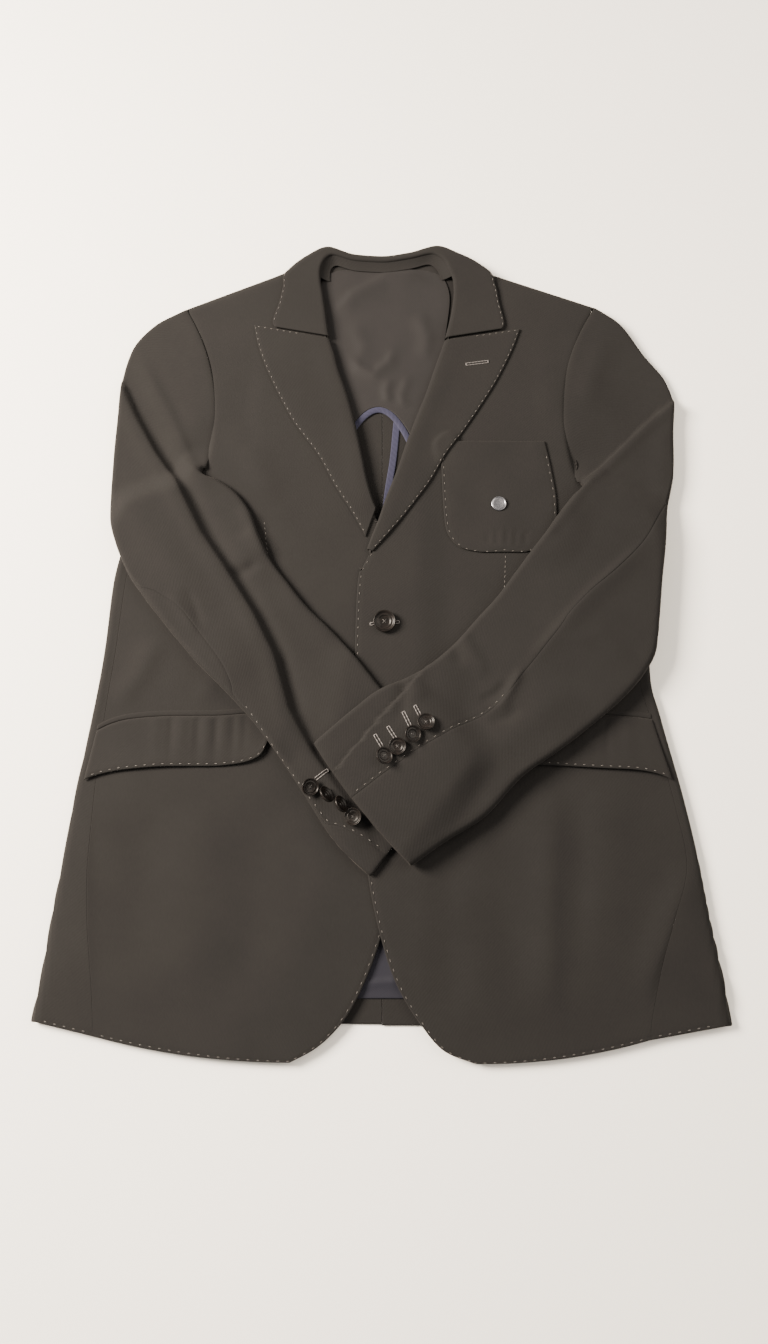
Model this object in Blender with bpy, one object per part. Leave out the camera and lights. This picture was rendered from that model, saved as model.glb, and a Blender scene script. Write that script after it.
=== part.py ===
# A man's tailored jacket laid flat on its back, with its sleeves crossed on its front.
# Sizes are in millimetres here and become metres in the meshes. +X is to the viewer's right, +Y to the
# collar and +Z up from the surface that the jacket lies on. Left and right are the wearer's, so the left
# pieces have x > 0.
import math

import bmesh
import bpy
import numpy as np
from mathutils import Matrix, Vector
from mathutils.bvhtree import BVHTree

mm = 0.001
seamGap = 0.3          # between neighbouring pieces
armholeGap = 0.5       # kept by the body besides, where straight facets meet along a curve
underarmGap = 2.4      # and where the sleeve climbs over the body
wallBack = 2.4         # cloth and lining
wallSide = 2.2
wallFront = 2.5        # cloth, canvas and lining
wallSleeve = 1.8
wallLapel = 1.8
wallPocket = 1.5
wallFlap = 1.6
wallWelt = 1.3
wallLining = 0.9
sideTurn = 52.0        # how far a side panel reaches under the back
rollRadius = (wallFront + seamGap + wallLapel) / 2
rollInset = 4.2        # from a roll to the edge of the front inside it
shoulderRound = 10.0   # plan width of the round along the shoulder
shoulderDrop = 1.6     # from the back to the lower edge of the front's round
sleeveHeight = 7.4     # two walls and the air between them
sleeveHeadHeight = 9.4
lapRise = wallFront + seamGap
neckLift = 2.2         # the back lies on the turned-under collar
standWidth = 94.0      # the stand inside the neck: its ridge, depth and slope
standRidge = 360.6
standCurve = 3.6
standDepth = 5.5
standReach = 4.4
standFoot = 1.1
standRise = 2.2
frontButton = (20.0, 4.0)
cuffButton = (14.5, 3.4)
pinSize = (14.0, 1.6)
middleShift = (0.5, 4.74)   # puts the middle of the whole on the origin

# Height of the top of the body over the surface: y, z
bodyHeights = [(-400, 7.6), (-200, 7.8), (-50, 8.0), (150, 8.4), (300, 8.7), (400, 9.0)]

# Fronts, a row for each rung from hem to shoulder:
# outer x, outer y (side seam, then armhole), inner x, inner y (front edge, then lapel roll), bow
frontRight = [
    (-233, -362, -74, -382, -5), (-234, -350, -53, -371, -3), (-236, -330, -31, -350, -2),
    (-240, -300, -14, -320, 0), (-244, -270, -1, -286, 0), (-247, -225, 13, -240, 0),
    (-246, -173, 18, -180, 0), (-242, -101, 18, -105, 0), (-236, -37, 18, -40, 0),
    (-231, 30, 18, 22, 0), (-221, 78, 14, 60, 0), (-203, 99, 3, 84, 0), (-180, 106, -6, 104, 0),
    (-169, 121, -11, 125, 0), (-163, 152, -17, 150, 0), (-161, 186, -25, 185, 0),
    (-162, 222, -35, 221, 0), (-167, 255, -45, 254, 0), (-173, 274, -52, 278, 0), (-178, 288, -55, 300, 0),
    (-184, 297, -57, 318, 0), (-187, 303, -60, 338, 0), (-189, 307, -61, 351, 0), (-190, 309, -62, 364, 0)]
frontLeft = [
    (216, -365, 75, -383, 5), (218, -352, 51, -374, 3), (222, -335, 29, -350, 2),
    (230, -305, 10, -318, 0), (242, -270, -1, -285, 0), (256, -222, -11, -240, 0),
    (249, -173, -18, -180, 0), (234, -101, -22, -110, 0), (226, -60, -24, -40, 0),
    (226, 10, -22, 24, 0), (227, 70, -17, 48, 0), (218, 96, -5, 78, 0), (199, 101, 4, 105, 0),
    (187, 112, 12, 130, 0), (180, 145, 20, 155, 0), (176, 180, 30, 185, 0),
    (175, 215, 42, 218, 0), (181, 250, 53, 252, 0), (189, 275, 61, 278, 0), (194, 288, 66, 299, 0),
    (198, 298, 69, 320, 0), (202, 305, 70, 338, 0), (204, 309, 67, 351, 0), (205, 311, 64, 364, 0)]

# Side panels from hem to armhole: seam x, seam y, fold x, fold y
sideRight = [
    (-233, -362, -285, -351), (-234, -350, -284, -341), (-236, -330, -281, -322), (-240, -300, -278, -295),
    (-244, -270, -275, -265), (-247, -225, -270, -225), (-246, -173, -264, -170), (-242, -101, -254, -101),
    (-236, -37, -247, -37), (-231, 30, -243, 28), (-221, 78, -233, 74), (-214, 92, -227, 90)]
sideLeft = [
    (216, -365, 284, -354), (218, -352, 283, -343), (222, -335, 282, -330), (230, -305, 278, -302),
    (242, -270, 273, -270), (256, -222, 267, -222), (249, -173, 259, -173), (234, -101, 244, -101),
    (226, -60, 237, -60), (226, 10, 238, 10), (227, 70, 239, 66), (222, 88, 235, 86)]

# Back panels above the side panels, to the shoulder: outer x, outer y (armhole), inner x, inner y (centre
# seam, then neck)
backArmholeRight = [
    (-170, 112, 0, 112), (-167, 128, 0, 128), (-162, 160, 0, 160), (-161, 195, 0, 195), (-162, 228, 0, 228),
    (-167, 255, 0, 258), (-171, 268, 0, 285), (-176, 280, 0, 303), (-180, 289, 0, 320), (-184, 297, 0, 338),
    (-187, 303, -9, 357), (-189, 306, -36, 359), (-190, 309, -62, 366)]
backArmholeLeft = [
    (184, 104, 0, 104), (184, 126, 0, 128), (178, 155, 0, 160), (175, 190, 0, 195), (177, 226, 0, 228),
    (181, 250, 0, 258), (186, 266, 0, 285), (190, 279, 0, 303), (196, 290, 0, 320), (200, 299, 0, 338),
    (202, 304, 9, 357), (204, 308, 36, 359), (205, 311, 64, 366)]
backHem = -353.0

# Sleeves from armhole to cuff: outer x, outer y, inner x, inner y, bow, share of the width at which the
# back seam runs, share of the fold's rise
sleeveRight = [
    (-191, 309, -164, 135, 16, 0.03, 0), (-219, 283, -165.8, 134.4, 8, 0.03, 0.3),
    (-237, 256, -167, 132.6, 3, 0.03, 0.8), (-243, 220, -166.4, 130.4, 0, 0.03, 1),
    (-246, 187, -163.5, 128.6, 0, 0.03, 1), (-248, 150, -157, 126.5, 0, 0.03, 1),
    (-250, 118, -147, 121, 0, 0.03, 1), (-251, 88, -134, 111, 0, 0.03, 1),
    (-248, 60, -121, 93, 0, 0.05, 1), (-239, 30, -112, 70, 0, 0.1, 1),
    (-219, 7, -100, 45, 0, 0.17, 1), (-196, -16, -84, 23, 0, 0.2, 1), (-167, -48, -66, 0, 0, 0.16, 1),
    (-138, -76, -44, -22, 0, 0.12, 1), (-112, -104, -20, -50, 0, 0.06, 1), (-90, -133, 2, -78, 0, 0.05, 0.9),
    (-66, -168, 28, -103, 0, 0.07, 0.7), (-44, -202, 50, -119, 0, 0.12, 0.5),
    (-28, -220, 60, -126, 0, 0.15, 0.35), (-10, -236, 70, -133, 0, 0.18, 0.2)]
sleeveLeft = [
    (207, 311, 181, 120, -21, 0.03, 0), (231, 291, 182.8, 119.4, -10, 0.03, 1),
    (252, 258, 184, 117.6, -4, 0.03, 1), (268, 232, 183.4, 115.4, 0, 0.03, 1),
    (274, 205, 180.6, 112.6, 0, 0.03, 1), (273, 170, 174.5, 107, 0, 0.03, 1),
    (271, 135, 167, 98, 0, 0.03, 1), (262, 95, 159, 87, 0, 0.06, 1), (257, 60, 149, 72, 0, 0.17, 1),
    (251, 25, 136, 55, 0, 0.34, 1), (246, -10, 119, 32, 0, 0.5, 1), (241, -40, 102, 9, 0, 0.57, 1),
    (229, -62, 84, -11, 0, 0.57, 1), (209, -84, 64, -34, 0, 0.56, 1), (182, -107, 44, -52, 0, 0.52, 1),
    (152, -130, 22, -65, 0, 0.48, 1), (120, -152, -4, -78, 0, 0.5, 1), (86, -187, -28, -97, 0, 0.56, 1),
    (54, -207, -44, -111, 0, 0.56, 1), (24, -228, -59, -124, 4, 0.56, 1)]
# Where each sleeve is folded on itself: the side below and left (right sleeve) or right (left) is higher
foldRight = [(-250, 232), (-231, 191), (-210, 153), (-189, 123), (-162, 70), (-139, 36), (-112, -7),
             (-93, -45), (-79, -93), (-58, -132), (-30, -170), (0, -220)]
foldLeft = [(150, 85), (181, 116), (199, 136), (227, 165), (254, 192), (290, 228)]
foldRise = 4.0
sleeveSpread = 36.0    # how far before a step the sleeve begins to rise
sleeveBlur = 12.0
lapelSpread = 22.0     # the same where a lapel lies over the pocket
lapelBlur = 8.0
foldWidth = 7.0
headRows = 3           # rungs over which a sleeve's head thins
sleeveWidth = 100.0    # about, for gaps given as a share of it
underSeam = 0.2        # where the front seam runs below, as a share

# Lapels from the break to the gorge: roll x, roll y, edge x, edge y
lapelRight = [
    (-5.5, 98, -15, 69), (-9, 108, -29, 95), (-14, 127, -43, 118), (-18, 148, -60, 151), (-23, 172, -72, 168),
    (-28, 195, -83, 184), (-34, 217, -99, 215), (-42, 242, -111, 242), (-46, 258, -119, 265),
    (-51, 274, -124, 288)]
lapelLeft = [
    (-14, 56, -8.5, 54), (-10.5, 67, 0, 64), (-4, 84, 14, 81), (3, 106, 31, 104), (9, 122, 44, 123),
    (15, 139, 58, 149), (22, 162, 74, 172), (32, 190, 92, 200), (42, 217, 108, 227), (50, 242, 120, 251),
    (55, 257, 127, 267), (60, 272, 133, 284)]

# Collar from the left gorge round the neck to the right gorge: roll x, roll y, top z, the direction of the
# leaf in degrees from +X, flat run, bend in degrees, bend radius, run after the bend, turn of the roll
collarSections = [
    (60.3, 273.8, 11.8, 9.8, 53.5, 0, 9, 0, 180), (61.5, 279, 11.8, 9.3, 54.5, 0, 9, 0, 180),
    (67, 303, 12.1, 9, 45, 0, 9, 0, 180), (69.5, 325, 12.5, 7, 38, 0, 9, 1, 180),
    (69, 338, 13.0, 9, 34, 14, 9, 1, 180), (65.5, 349, 13.4, 16, 24, 60, 9, 1, 170),
    (61, 360, 13.4, 42, 9, 115, 6.8, 1, 150), (50, 363.5, 12.6, 70, 2, 178, 6.1, 3, 120),
    (28, 361.5, 11.7, 84, 1, 180, 5.8, 22, 100), (0, 360, 11.3, 90, 1, 180, 5.6, 24, 100),
    (-28, 361.5, 11.7, 96, 1, 180, 5.8, 22, 100), (-49, 363.5, 12.6, 110, 2, 178, 6.1, 3, 120),
    (-58, 360, 13.4, 138, 9, 115, 6.8, 1, 150), (-60.5, 348, 13.4, 164, 22, 60, 9, 1, 170),
    (-60, 337, 13.0, 171, 32, 14, 9, 1, 180), (-58, 324, 12.5, 173, 36, 0, 9, 1, 180),
    (-55, 303, 12.1, 171, 44, 0, 9, 0, 180), (-52, 281, 11.8, 169.5, 52.5, 0, 9, 0, 180),
    (-51, 275.6, 11.8, 169.5, 51, 0, 9, 0, 180)]

# Breast pocket from its bottom to its mouth: left x, left y, right x, right y, bow
pocketRows = [
    (90, 54, 130, 54, 0), (75, 57, 144, 58, 0), (64, 65, 154, 66, 0), (58, 78, 160, 80, 0),
    (56, 104, 160.5, 104, 0), (55, 136, 157, 136, 0), (54, 165, 152, 165, 0)]
# Hip flaps from the side to the front: seam x, seam y, lower x, lower y
flapRight = [
    (-248, -111, -255, -154), (-236, -105, -240, -149), (-219, -100.5, -222, -145.5), (-182, -98, -182, -142.5),
    (-150, -98, -150, -142.5), (-120, -96, -122, -140), (-106, -95, -105, -133), (-99, -95, -99, -121)]
flapLeft = [
    (235, -101, 248, -154), (225, -99.5, 236, -149), (208, -98, 216, -145.5), (186, -97, 186, -144),
    (152, -96, 152, -142), (124, -95.5, 124, -140.5), (108, -95, 107, -133), (101, -95, 101, -121)]
weltWidth = 5.0

# Inside the neck: lining from the arch up to the stand, left x, left y, right x, right y, bow
yokeRows = [
    (-40, 180, 40, 178, 18), (-50, 215, 50, 213, 14), (-56, 250, 56, 250, 8), (-60, 285, 62, 285, 4),
    (-62, 320, 66, 320, 2), (-58, 343, 60, 343, 3), (-44, 352, 44, 352, 2)]
bindingWidth = 6.0
tapeRows = [(7, 60, 11, 60, 0), (8, 120, 12, 120, 0), (11, 155, 15, 154, 0), (12, 187, 18, 186, 0)]
skirtRows = [(-90, -333, 90, -333, 0), (-70, -300, 70, -300, 0), (-45, -262, 40, -262, 0)]

# Buttons: x, y
frontButtonPlace = (2, -13)
leftCuffButtons = [(1, -138), (13, -129), (25, -119), (37, -109)]
rightCuffButtons = [(-61, -162), (-48, -170), (-36, -178), (-24, -187)]
pinPlace = (107, 101)

clothColour = (0.062, 0.049, 0.042)
liningColour = (0.075, 0.068, 0.066)
bindingColour = (0.10, 0.10, 0.14)
hornColour = (0.018, 0.013, 0.011)
metalColour = (0.55, 0.55, 0.56)


def curveAt(values, t):
    """A curve through evenly spaced values that never overshoots them."""
    count = len(values)
    k = min(max(int(t), 0), count - 2)
    f = t - k
    steps = [values[i + 1] - values[i] for i in range(count - 1)]

    def slope(i):
        if i == 0:
            return steps[0]
        if i == count - 1:
            return steps[-1]
        a, b = steps[i - 1], steps[i]
        return 0.0 if a * b <= 0 else 2 * a * b / (a + b)

    h = f * f * (3 - 2 * f)
    return (values[k] * (1 - h) + values[k + 1] * h
            + slope(k) * f * (1 - f) ** 2 - slope(k + 1) * f * f * (1 - f))


def rowAt(rows, v):
    """The table's columns at share v of its rows."""
    return [curveAt(column, v * (len(rows) - 1)) for column in zip(*rows)]


def smooth(t):
    t = min(max(t, 0.0), 1.0)
    return t * t * (3 - 2 * t)


def ladder(rows):
    """Plan of a piece from rungs: u runs along a rung, v from rung to rung."""
    def plan(u, v):
        row = rowAt(rows, v)
        ax, ay, bx, by = row[:4]
        bow = row[4] * 4 * u * (1 - u) if len(row) > 4 else 0.0
        length = math.hypot(bx - ax, by - ay)
        return (ax + (bx - ax) * u - (by - ay) / length * bow, ay + (by - ay) * u + (bx - ax) / length * bow)
    return plan


def steps(start, end, count):
    return [start + (end - start) * i / count for i in range(count + 1)]


def outline(plan, count=24):
    """The edge of a plan, as points."""
    grid = steps(0, 1, count)
    return ([plan(0, v) for v in grid] + [plan(u, 1) for u in grid]
            + [plan(1, v) for v in reversed(grid)] + [plan(u, 0) for u in reversed(grid)])


def bodyTop(y):
    return float(np.interp(y, [row[0] for row in bodyHeights], [row[1] for row in bodyHeights]))


def backLift(x, y):
    """How far the back is lifted by the collar under it."""
    return neckLift * smooth((y - 290) / 40) * smooth((112 - abs(x)) / 45)


def lapLift(x, y):
    """How far the left front is lifted by the right front under it."""
    return lapRise * smooth((62 - x) / 34) * smooth((178 - y) / 60) * smooth((y + 378) / 70)


def shoulderLine(side):
    top = (frontLeft if side > 0 else frontRight)[-1]
    return top[0], top[1], top[2], top[3]


def frontTop(x, y, side):
    """Height of a front's outer face, with the round along its shoulder."""
    top = bodyTop(y) + (lapLift(x, y) if side > 0 else 0.0)
    low = wallBack + seamGap + shoulderDrop + backLift(x, y)
    ax, ay, bx, by = shoulderLine(side)
    inside = ((y - ay) * (bx - ax) - (x - ax) * (by - ay)) / math.hypot(bx - ax, by - ay)
    inside = inside if side > 0 else -inside
    if inside >= shoulderRound:
        return top
    reach = (shoulderRound - max(inside, 0.0)) / shoulderRound
    return low + (top - low) * math.sqrt(max(1 - reach * reach, 0.0))


def makeMaterial(name, colour, roughness, metallic=0.0):
    material = bpy.data.materials.new(name)
    material.use_nodes = True
    shader = material.node_tree.nodes["Principled BSDF"]
    shader.inputs["Base Color"].default_value = (*colour, 1.0)
    shader.inputs["Roughness"].default_value = roughness
    shader.inputs["Metallic"].default_value = metallic
    return material


def addObject(name, bm, colour, roughness=0.9, metallic=0.0):
    mesh = bpy.data.meshes.new(name)
    bm.to_mesh(mesh)
    bm.free()
    mesh.shade_smooth()
    mesh.set_sharp_from_angle(angle=math.radians(40))
    piece = bpy.data.objects.new(name, mesh)
    bpy.context.scene.collection.objects.link(piece)
    mesh.materials.append(makeMaterial(name, colour, roughness, metallic))
    return piece


def cloth(name, surface, us, vs, wall, colour=clothColour):
    """A cloth piece: its outer face from surface(u, v), and a wall inwards from it."""
    bm = bmesh.new()
    bmesh.ops.create_grid(bm, x_segments=len(us) - 1, y_segments=len(vs) - 1, size=1)
    bm.verts.ensure_lookup_table()
    for vert in bm.verts:
        i = round((vert.co.x + 1) / 2 * (len(us) - 1))
        j = round((vert.co.y + 1) / 2 * (len(vs) - 1))
        vert.co = Vector(surface(us[i], vs[j])) * mm
    bm.normal_update()
    highest = max(bm.faces, key=lambda face: face.calc_center_median().z)
    if highest.normal.z < 0:
        bmesh.ops.reverse_faces(bm, faces=bm.faces)
    piece = addObject(name, bm, colour)
    solidify = piece.modifiers.new("Wall", "SOLIDIFY")
    solidify.thickness = wall * mm
    solidify.offset = -1.0
    solidify.use_even_offset = True
    solidify.use_quality_normals = True
    return piece


def insideOutline(points, xs, ys):
    """Which grid points lie inside a closed outline."""
    inside = np.zeros((len(ys), len(xs)), dtype=bool)
    gx, gy = np.meshgrid(xs, ys)
    for (ax, ay), (bx, by) in zip(points, points[1:] + points[:1]):
        if ay == by:
            continue
        crosses = (ay > gy) != (by > gy)
        inside ^= crosses & (gx < (bx - ax) * (gy - ay) / (by - ay) + ax)
    return inside


def restHeight(plan, below, spread, blur, cell=4.0):
    """Height on which a piece rests: the tops of the pieces below it, spread and softened."""
    edge = outline(plan)
    margin = spread + blur + 2 * cell
    xs = np.arange(min(p[0] for p in edge) - margin, max(p[0] for p in edge) + margin, cell)
    ys = np.arange(min(p[1] for p in edge) - margin, max(p[1] for p in edge) + margin, cell)
    heights = np.zeros((len(ys), len(xs)))
    graph = bpy.context.evaluated_depsgraph_get()
    graph.update()
    trees = [BVHTree.FromObject(piece, graph) for piece in below]
    mask = insideOutline(edge, xs, ys)
    for j, i in zip(*np.nonzero(mask)):
        start = Vector((xs[i] * mm, ys[j] * mm, 1.0))
        for tree in trees:
            hit = tree.ray_cast(start, Vector((0, 0, -1)))[0]
            if hit is not None:
                heights[j, i] = max(heights[j, i], hit.z / mm)

    def overDisc(field, radius, join):
        reach = int(radius / cell)
        shifted = [np.roll(field, (dj, di), (0, 1)) for dj in range(-reach, reach + 1)
                   for di in range(-reach, reach + 1) if dj * dj + di * di <= reach * reach + 0.5]
        return join(np.array(shifted), axis=0)

    field = overDisc(overDisc(heights, spread, np.max), blur, np.mean)

    def at(x, y):
        fi = min(max((x - xs[0]) / cell, 0), len(xs) - 1.001)
        fj = min(max((y - ys[0]) / cell, 0), len(ys) - 1.001)
        i, j = int(fi), int(fj)
        a, b = fi - i, fj - j
        return float((field[j, i] * (1 - a) + field[j, i + 1] * a) * (1 - b)
                     + (field[j + 1, i] * (1 - a) + field[j + 1, i + 1] * a) * b)
    return at


def sideOf(line, x, y):
    """Distance to a line of points, positive on its left."""
    best = None
    for (ax, ay), (bx, by) in zip(line, line[1:]):
        length = math.hypot(bx - ax, by - ay)
        t = min(max(((x - ax) * (bx - ax) + (y - ay) * (by - ay)) / length ** 2, 0.0), 1.0)
        away = math.hypot(x - ax - (bx - ax) * t, y - ay - (by - ay) * t)
        side = (bx - ax) * (y - ay) - (by - ay) * (x - ax)
        if best is None or away < abs(best):
            best = away if side >= 0 else -away
    return best


def armholeX(side, y):
    """Where a sleeve's head meets the body at height y on the plan."""
    rows = sleeveLeft if side > 0 else sleeveRight
    plan = ladder([row[:5] for row in rows[:2]])
    low, high = 0.0, 1.0
    for _ in range(24):
        middle = (low + high) / 2
        if plan(middle, 0)[1] > y:
            low = middle
        else:
            high = middle
    return plan((low + high) / 2, 0)[0]


def trimToArmhole(side, x, y):
    rows = sleeveLeft if side > 0 else sleeveRight
    if rows[0][3] <= y <= rows[0][1]:
        edge = armholeX(side, y) - side * (armholeGap + underarmGap * smooth((205 - y) / 50))
        return min(x, edge) if side > 0 else max(x, edge)
    return x


def rollLine(side):
    """The line on which a lapel and the collar roll back, up to the shoulder."""
    rolls = [row[:2] for row in (lapelLeft if side > 0 else lapelRight)]
    sections = collarSections[1:6] if side > 0 else collarSections[-2:-7:-1]
    below = [(-24, 36)] if side > 0 else [(2, 80)]
    return below + rolls + [row[:2] for row in sections]


def trimToRoll(side, line, x, y):
    """Keep a front's edge clear of the roll beside it."""
    if y < line[0][1] or y > line[-1][1] + 8:
        return x
    for _ in range(4):
        near = -side * sideOf(line, x, y)
        x += side * max(rollInset - near, 0.0)
    return x


def makeBody():
    pieces = {}
    for name, sideRows, armholeRows, side in (("back_right", sideRight, backArmholeRight, -1),
                                              ("back_left", sideLeft, backArmholeLeft, 1)):
        rows = [(foldX - side * sideTurn, foldY, 0, min(foldY, backHem) if i == 0 else foldY)
                for i, (seamX, seamY, foldX, foldY) in enumerate(sideRows)] + armholeRows
        plan = ladder(rows)
        us = steps(0, 1, 5)

        def backFace(u, v, plan=plan, side=side):
            x, y = plan(u, v)
            x = trimToArmhole(side, x, y)
            return x + side * seamGap / 2, y, backLift(x, y) + wallBack
        pieces[name] = cloth(name, backFace, us, steps(0, 1, len(rows) - 1), wallBack)

    for name, rows, side in (("front_right", frontRight, -1), ("front_left", frontLeft, 1)):
        plan = ladder(rows)
        line = rollLine(side)
        count = len(rows) - 1
        last = (count - 1) / count
        vs = steps(0, last, count - 1) + [last + (1 - last) * t for t in (0.35, 0.62, 0.82, 0.94, 1.0)]

        def frontFace(u, v, plan=plan, side=side, line=line):
            x, y = plan(u, v)
            x = trimToRoll(side, line, trimToArmhole(side, x, y), y)
            return x, y, frontTop(x, y, side)
        us = [0, 0.1, 0.22, 0.36, 0.5, 0.63, 0.75, 0.84, 0.92, 1]
        pieces[name] = cloth(name, frontFace, us, vs, wallFront)

    for name, rows, side in (("side_right", sideRight, -1), ("side_left", sideLeft, 1)):
        arc = steps(0, math.pi, 6)

        def sideFace(u, v, rows=rows, side=side, arc=arc):
            seamX, seamY, foldX, foldY = rowAt(rows, v)
            seamX += side * seamGap
            top = bodyTop(seamY)
            r = top / 2
            if u <= 1:
                x = seamX + (foldX - side * r - seamX) * u
                return x, seamY + (foldY - seamY) * u, top
            if u <= 2:
                angle = arc[round((u - 1) * (len(arc) - 1))]
                return foldX - side * r + side * r * math.sin(angle), foldY, r + r * math.cos(angle)
            under = (u - 2) * (sideTurn - r - 2 * seamGap)
            return foldX - side * (r + under), foldY, 0.0
        us = steps(0, 1, 2) + [1 + i / 6 for i in range(1, 7)] + steps(2, 3, 3)[1:]
        pieces[name] = cloth(name, sideFace, us, steps(0, 1, len(rows) - 1), wallSide)
    return pieces


def layOnFront(name, rows, side, wall, us, vs, colour=clothColour, away=0.0):
    plan = ladder(rows)

    def face(u, v):
        x, y = plan(u, v)
        return x, y, frontTop(x, y, side) + seamGap + wall + away
    return cloth(name, face, us, vs, wall, colour)


def makePockets():
    pieces = {}
    pieces["patch_pocket"] = layOnFront("patch_pocket", pocketRows, 1, wallPocket, steps(0, 1, 5),
                                        steps(0, 1, len(pocketRows) - 1), away=seamGap)
    for name, rows, side in (("right", flapRight, -1), ("left", flapLeft, 1)):
        count = len(rows) - 1
        pieces["flap_" + name] = layOnFront("flap_" + name, rows, side, wallFlap, steps(0, 1, 3),
                                            steps(0, 1, count))
        welt = [(x, y + seamGap, x, y + seamGap + weltWidth) for x, y, lowX, lowY in rows]
        pieces["welt_" + name] = layOnFront("welt_" + name, welt, side, wallWelt, steps(0, 1, 1),
                                            steps(0, 1, count))
    return pieces


def makeLapels(below):
    pieces = {}
    for name, rows, side in (("lapel_right", lapelRight, -1), ("lapel_left", lapelLeft, 1)):
        plan = ladder(rows)
        rest = restHeight(plan, below, lapelSpread, lapelBlur)

        def lapelFace(u, v, plan=plan, side=side, rest=rest):
            rollX, rollY = plan(0, v)
            edgeX, edgeY = plan(1, v)
            width = math.hypot(edgeX - rollX, edgeY - rollY)
            if u > 0:
                t = (rollRadius + (width - rollRadius) * u) / width
                x, y = plan(t, v)
                ground = max(frontTop(x, y, side), rest(x, y))
                return x, y, ground + seamGap + wallLapel
            angle = -u * math.pi
            t = rollRadius * (1 - math.sin(angle)) / width
            x, y = plan(t, v)
            top = frontTop(*plan(rollInset / width, v), side) + seamGap + wallLapel
            return x, y, top - rollRadius + rollRadius * math.cos(angle)
        us = [-1, -0.8, -0.6, -0.4, -0.2, 0, 0.12, 0.4, 0.7, 1]
        pieces[name] = cloth(name, lapelFace, us, steps(0, 1, len(rows) - 1), wallLapel)
    return pieces


def collarFace(u, v):
    """The collar's outer face: u below 0 is the roll, 0 to 1 the leaf from roll to edge."""
    rollX, rollY, top, heading, run, bend, radius, after, turn = rowAt(collarSections, v)
    dx, dy = math.cos(math.radians(heading)), math.sin(math.radians(heading))
    if u < 0:
        angle = -u * math.radians(turn)
        out, z = rollRadius * (1 - math.sin(angle)), top - rollRadius * (1 - math.cos(angle))
        return rollX + dx * out, rollY + dy * out, z
    bend = math.radians(bend)
    arc = radius * bend
    along = u * (run + arc + after)
    out, z = rollRadius + min(along, run), top
    if along > run:
        angle = min(along - run, arc) / radius
        out += radius * math.sin(angle)
        z -= radius * (1 - math.cos(angle))
        extra = max(along - run - arc, 0.0)
        out += extra * math.cos(angle)
        z -= extra * math.sin(angle)
    return rollX + dx * out, rollY + dy * out, z


def makeCollar():
    us = [-1, -0.75, -0.5, -0.25, 0] + steps(0, 1, 8)[1:]
    vs = steps(0, 1, 2 * (len(collarSections) - 1))
    pieces = {"collar": cloth("collar", collarFace, us, vs, wallLapel)}

    def standFace(u, v):
        x = (v - 0.5) * standWidth
        ridge = standRidge + standCurve * (2 * x / standWidth) ** 2
        foot = backLift(x, ridge) + wallBack + seamGap + standFoot
        return x, ridge - standDepth + standReach * u, foot + standRise * u
    pieces["collar_stand"] = cloth("collar_stand", standFace, steps(0, 1, 2), steps(0, 1, 8), wallLining)
    return pieces


def makeLinings():
    pieces = {}

    def onBack(name, rows, us, vs, wall, colour, away=0.0):
        plan = ladder(rows)

        def face(u, v):
            x, y = plan(u, v)
            return x, y, backLift(x, y) + wallBack + seamGap + wall + away
        pieces[name] = cloth(name, face, us, vs, wall, colour)
    onBack("yoke_lining", yokeRows, steps(0, 1, 8), steps(0, 1, len(yokeRows) - 1), wallLining, liningColour)
    leftX, leftY, rightX, rightY, bow = yokeRows[0]
    arch = [(leftX, leftY - down, rightX, rightY - down, bow) for down in (bindingWidth + seamGap, seamGap)]
    onBack("yoke_binding", arch, steps(0, 1, 12), [0, 1], wallLining, bindingColour)
    onBack("seam_tape", tapeRows, [0, 1], steps(0, 1, 6), wallLining, bindingColour)
    onBack("skirt_lining", skirtRows, steps(0, 1, 6), steps(0, 1, 4), wallLining, bindingColour)
    return pieces


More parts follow.
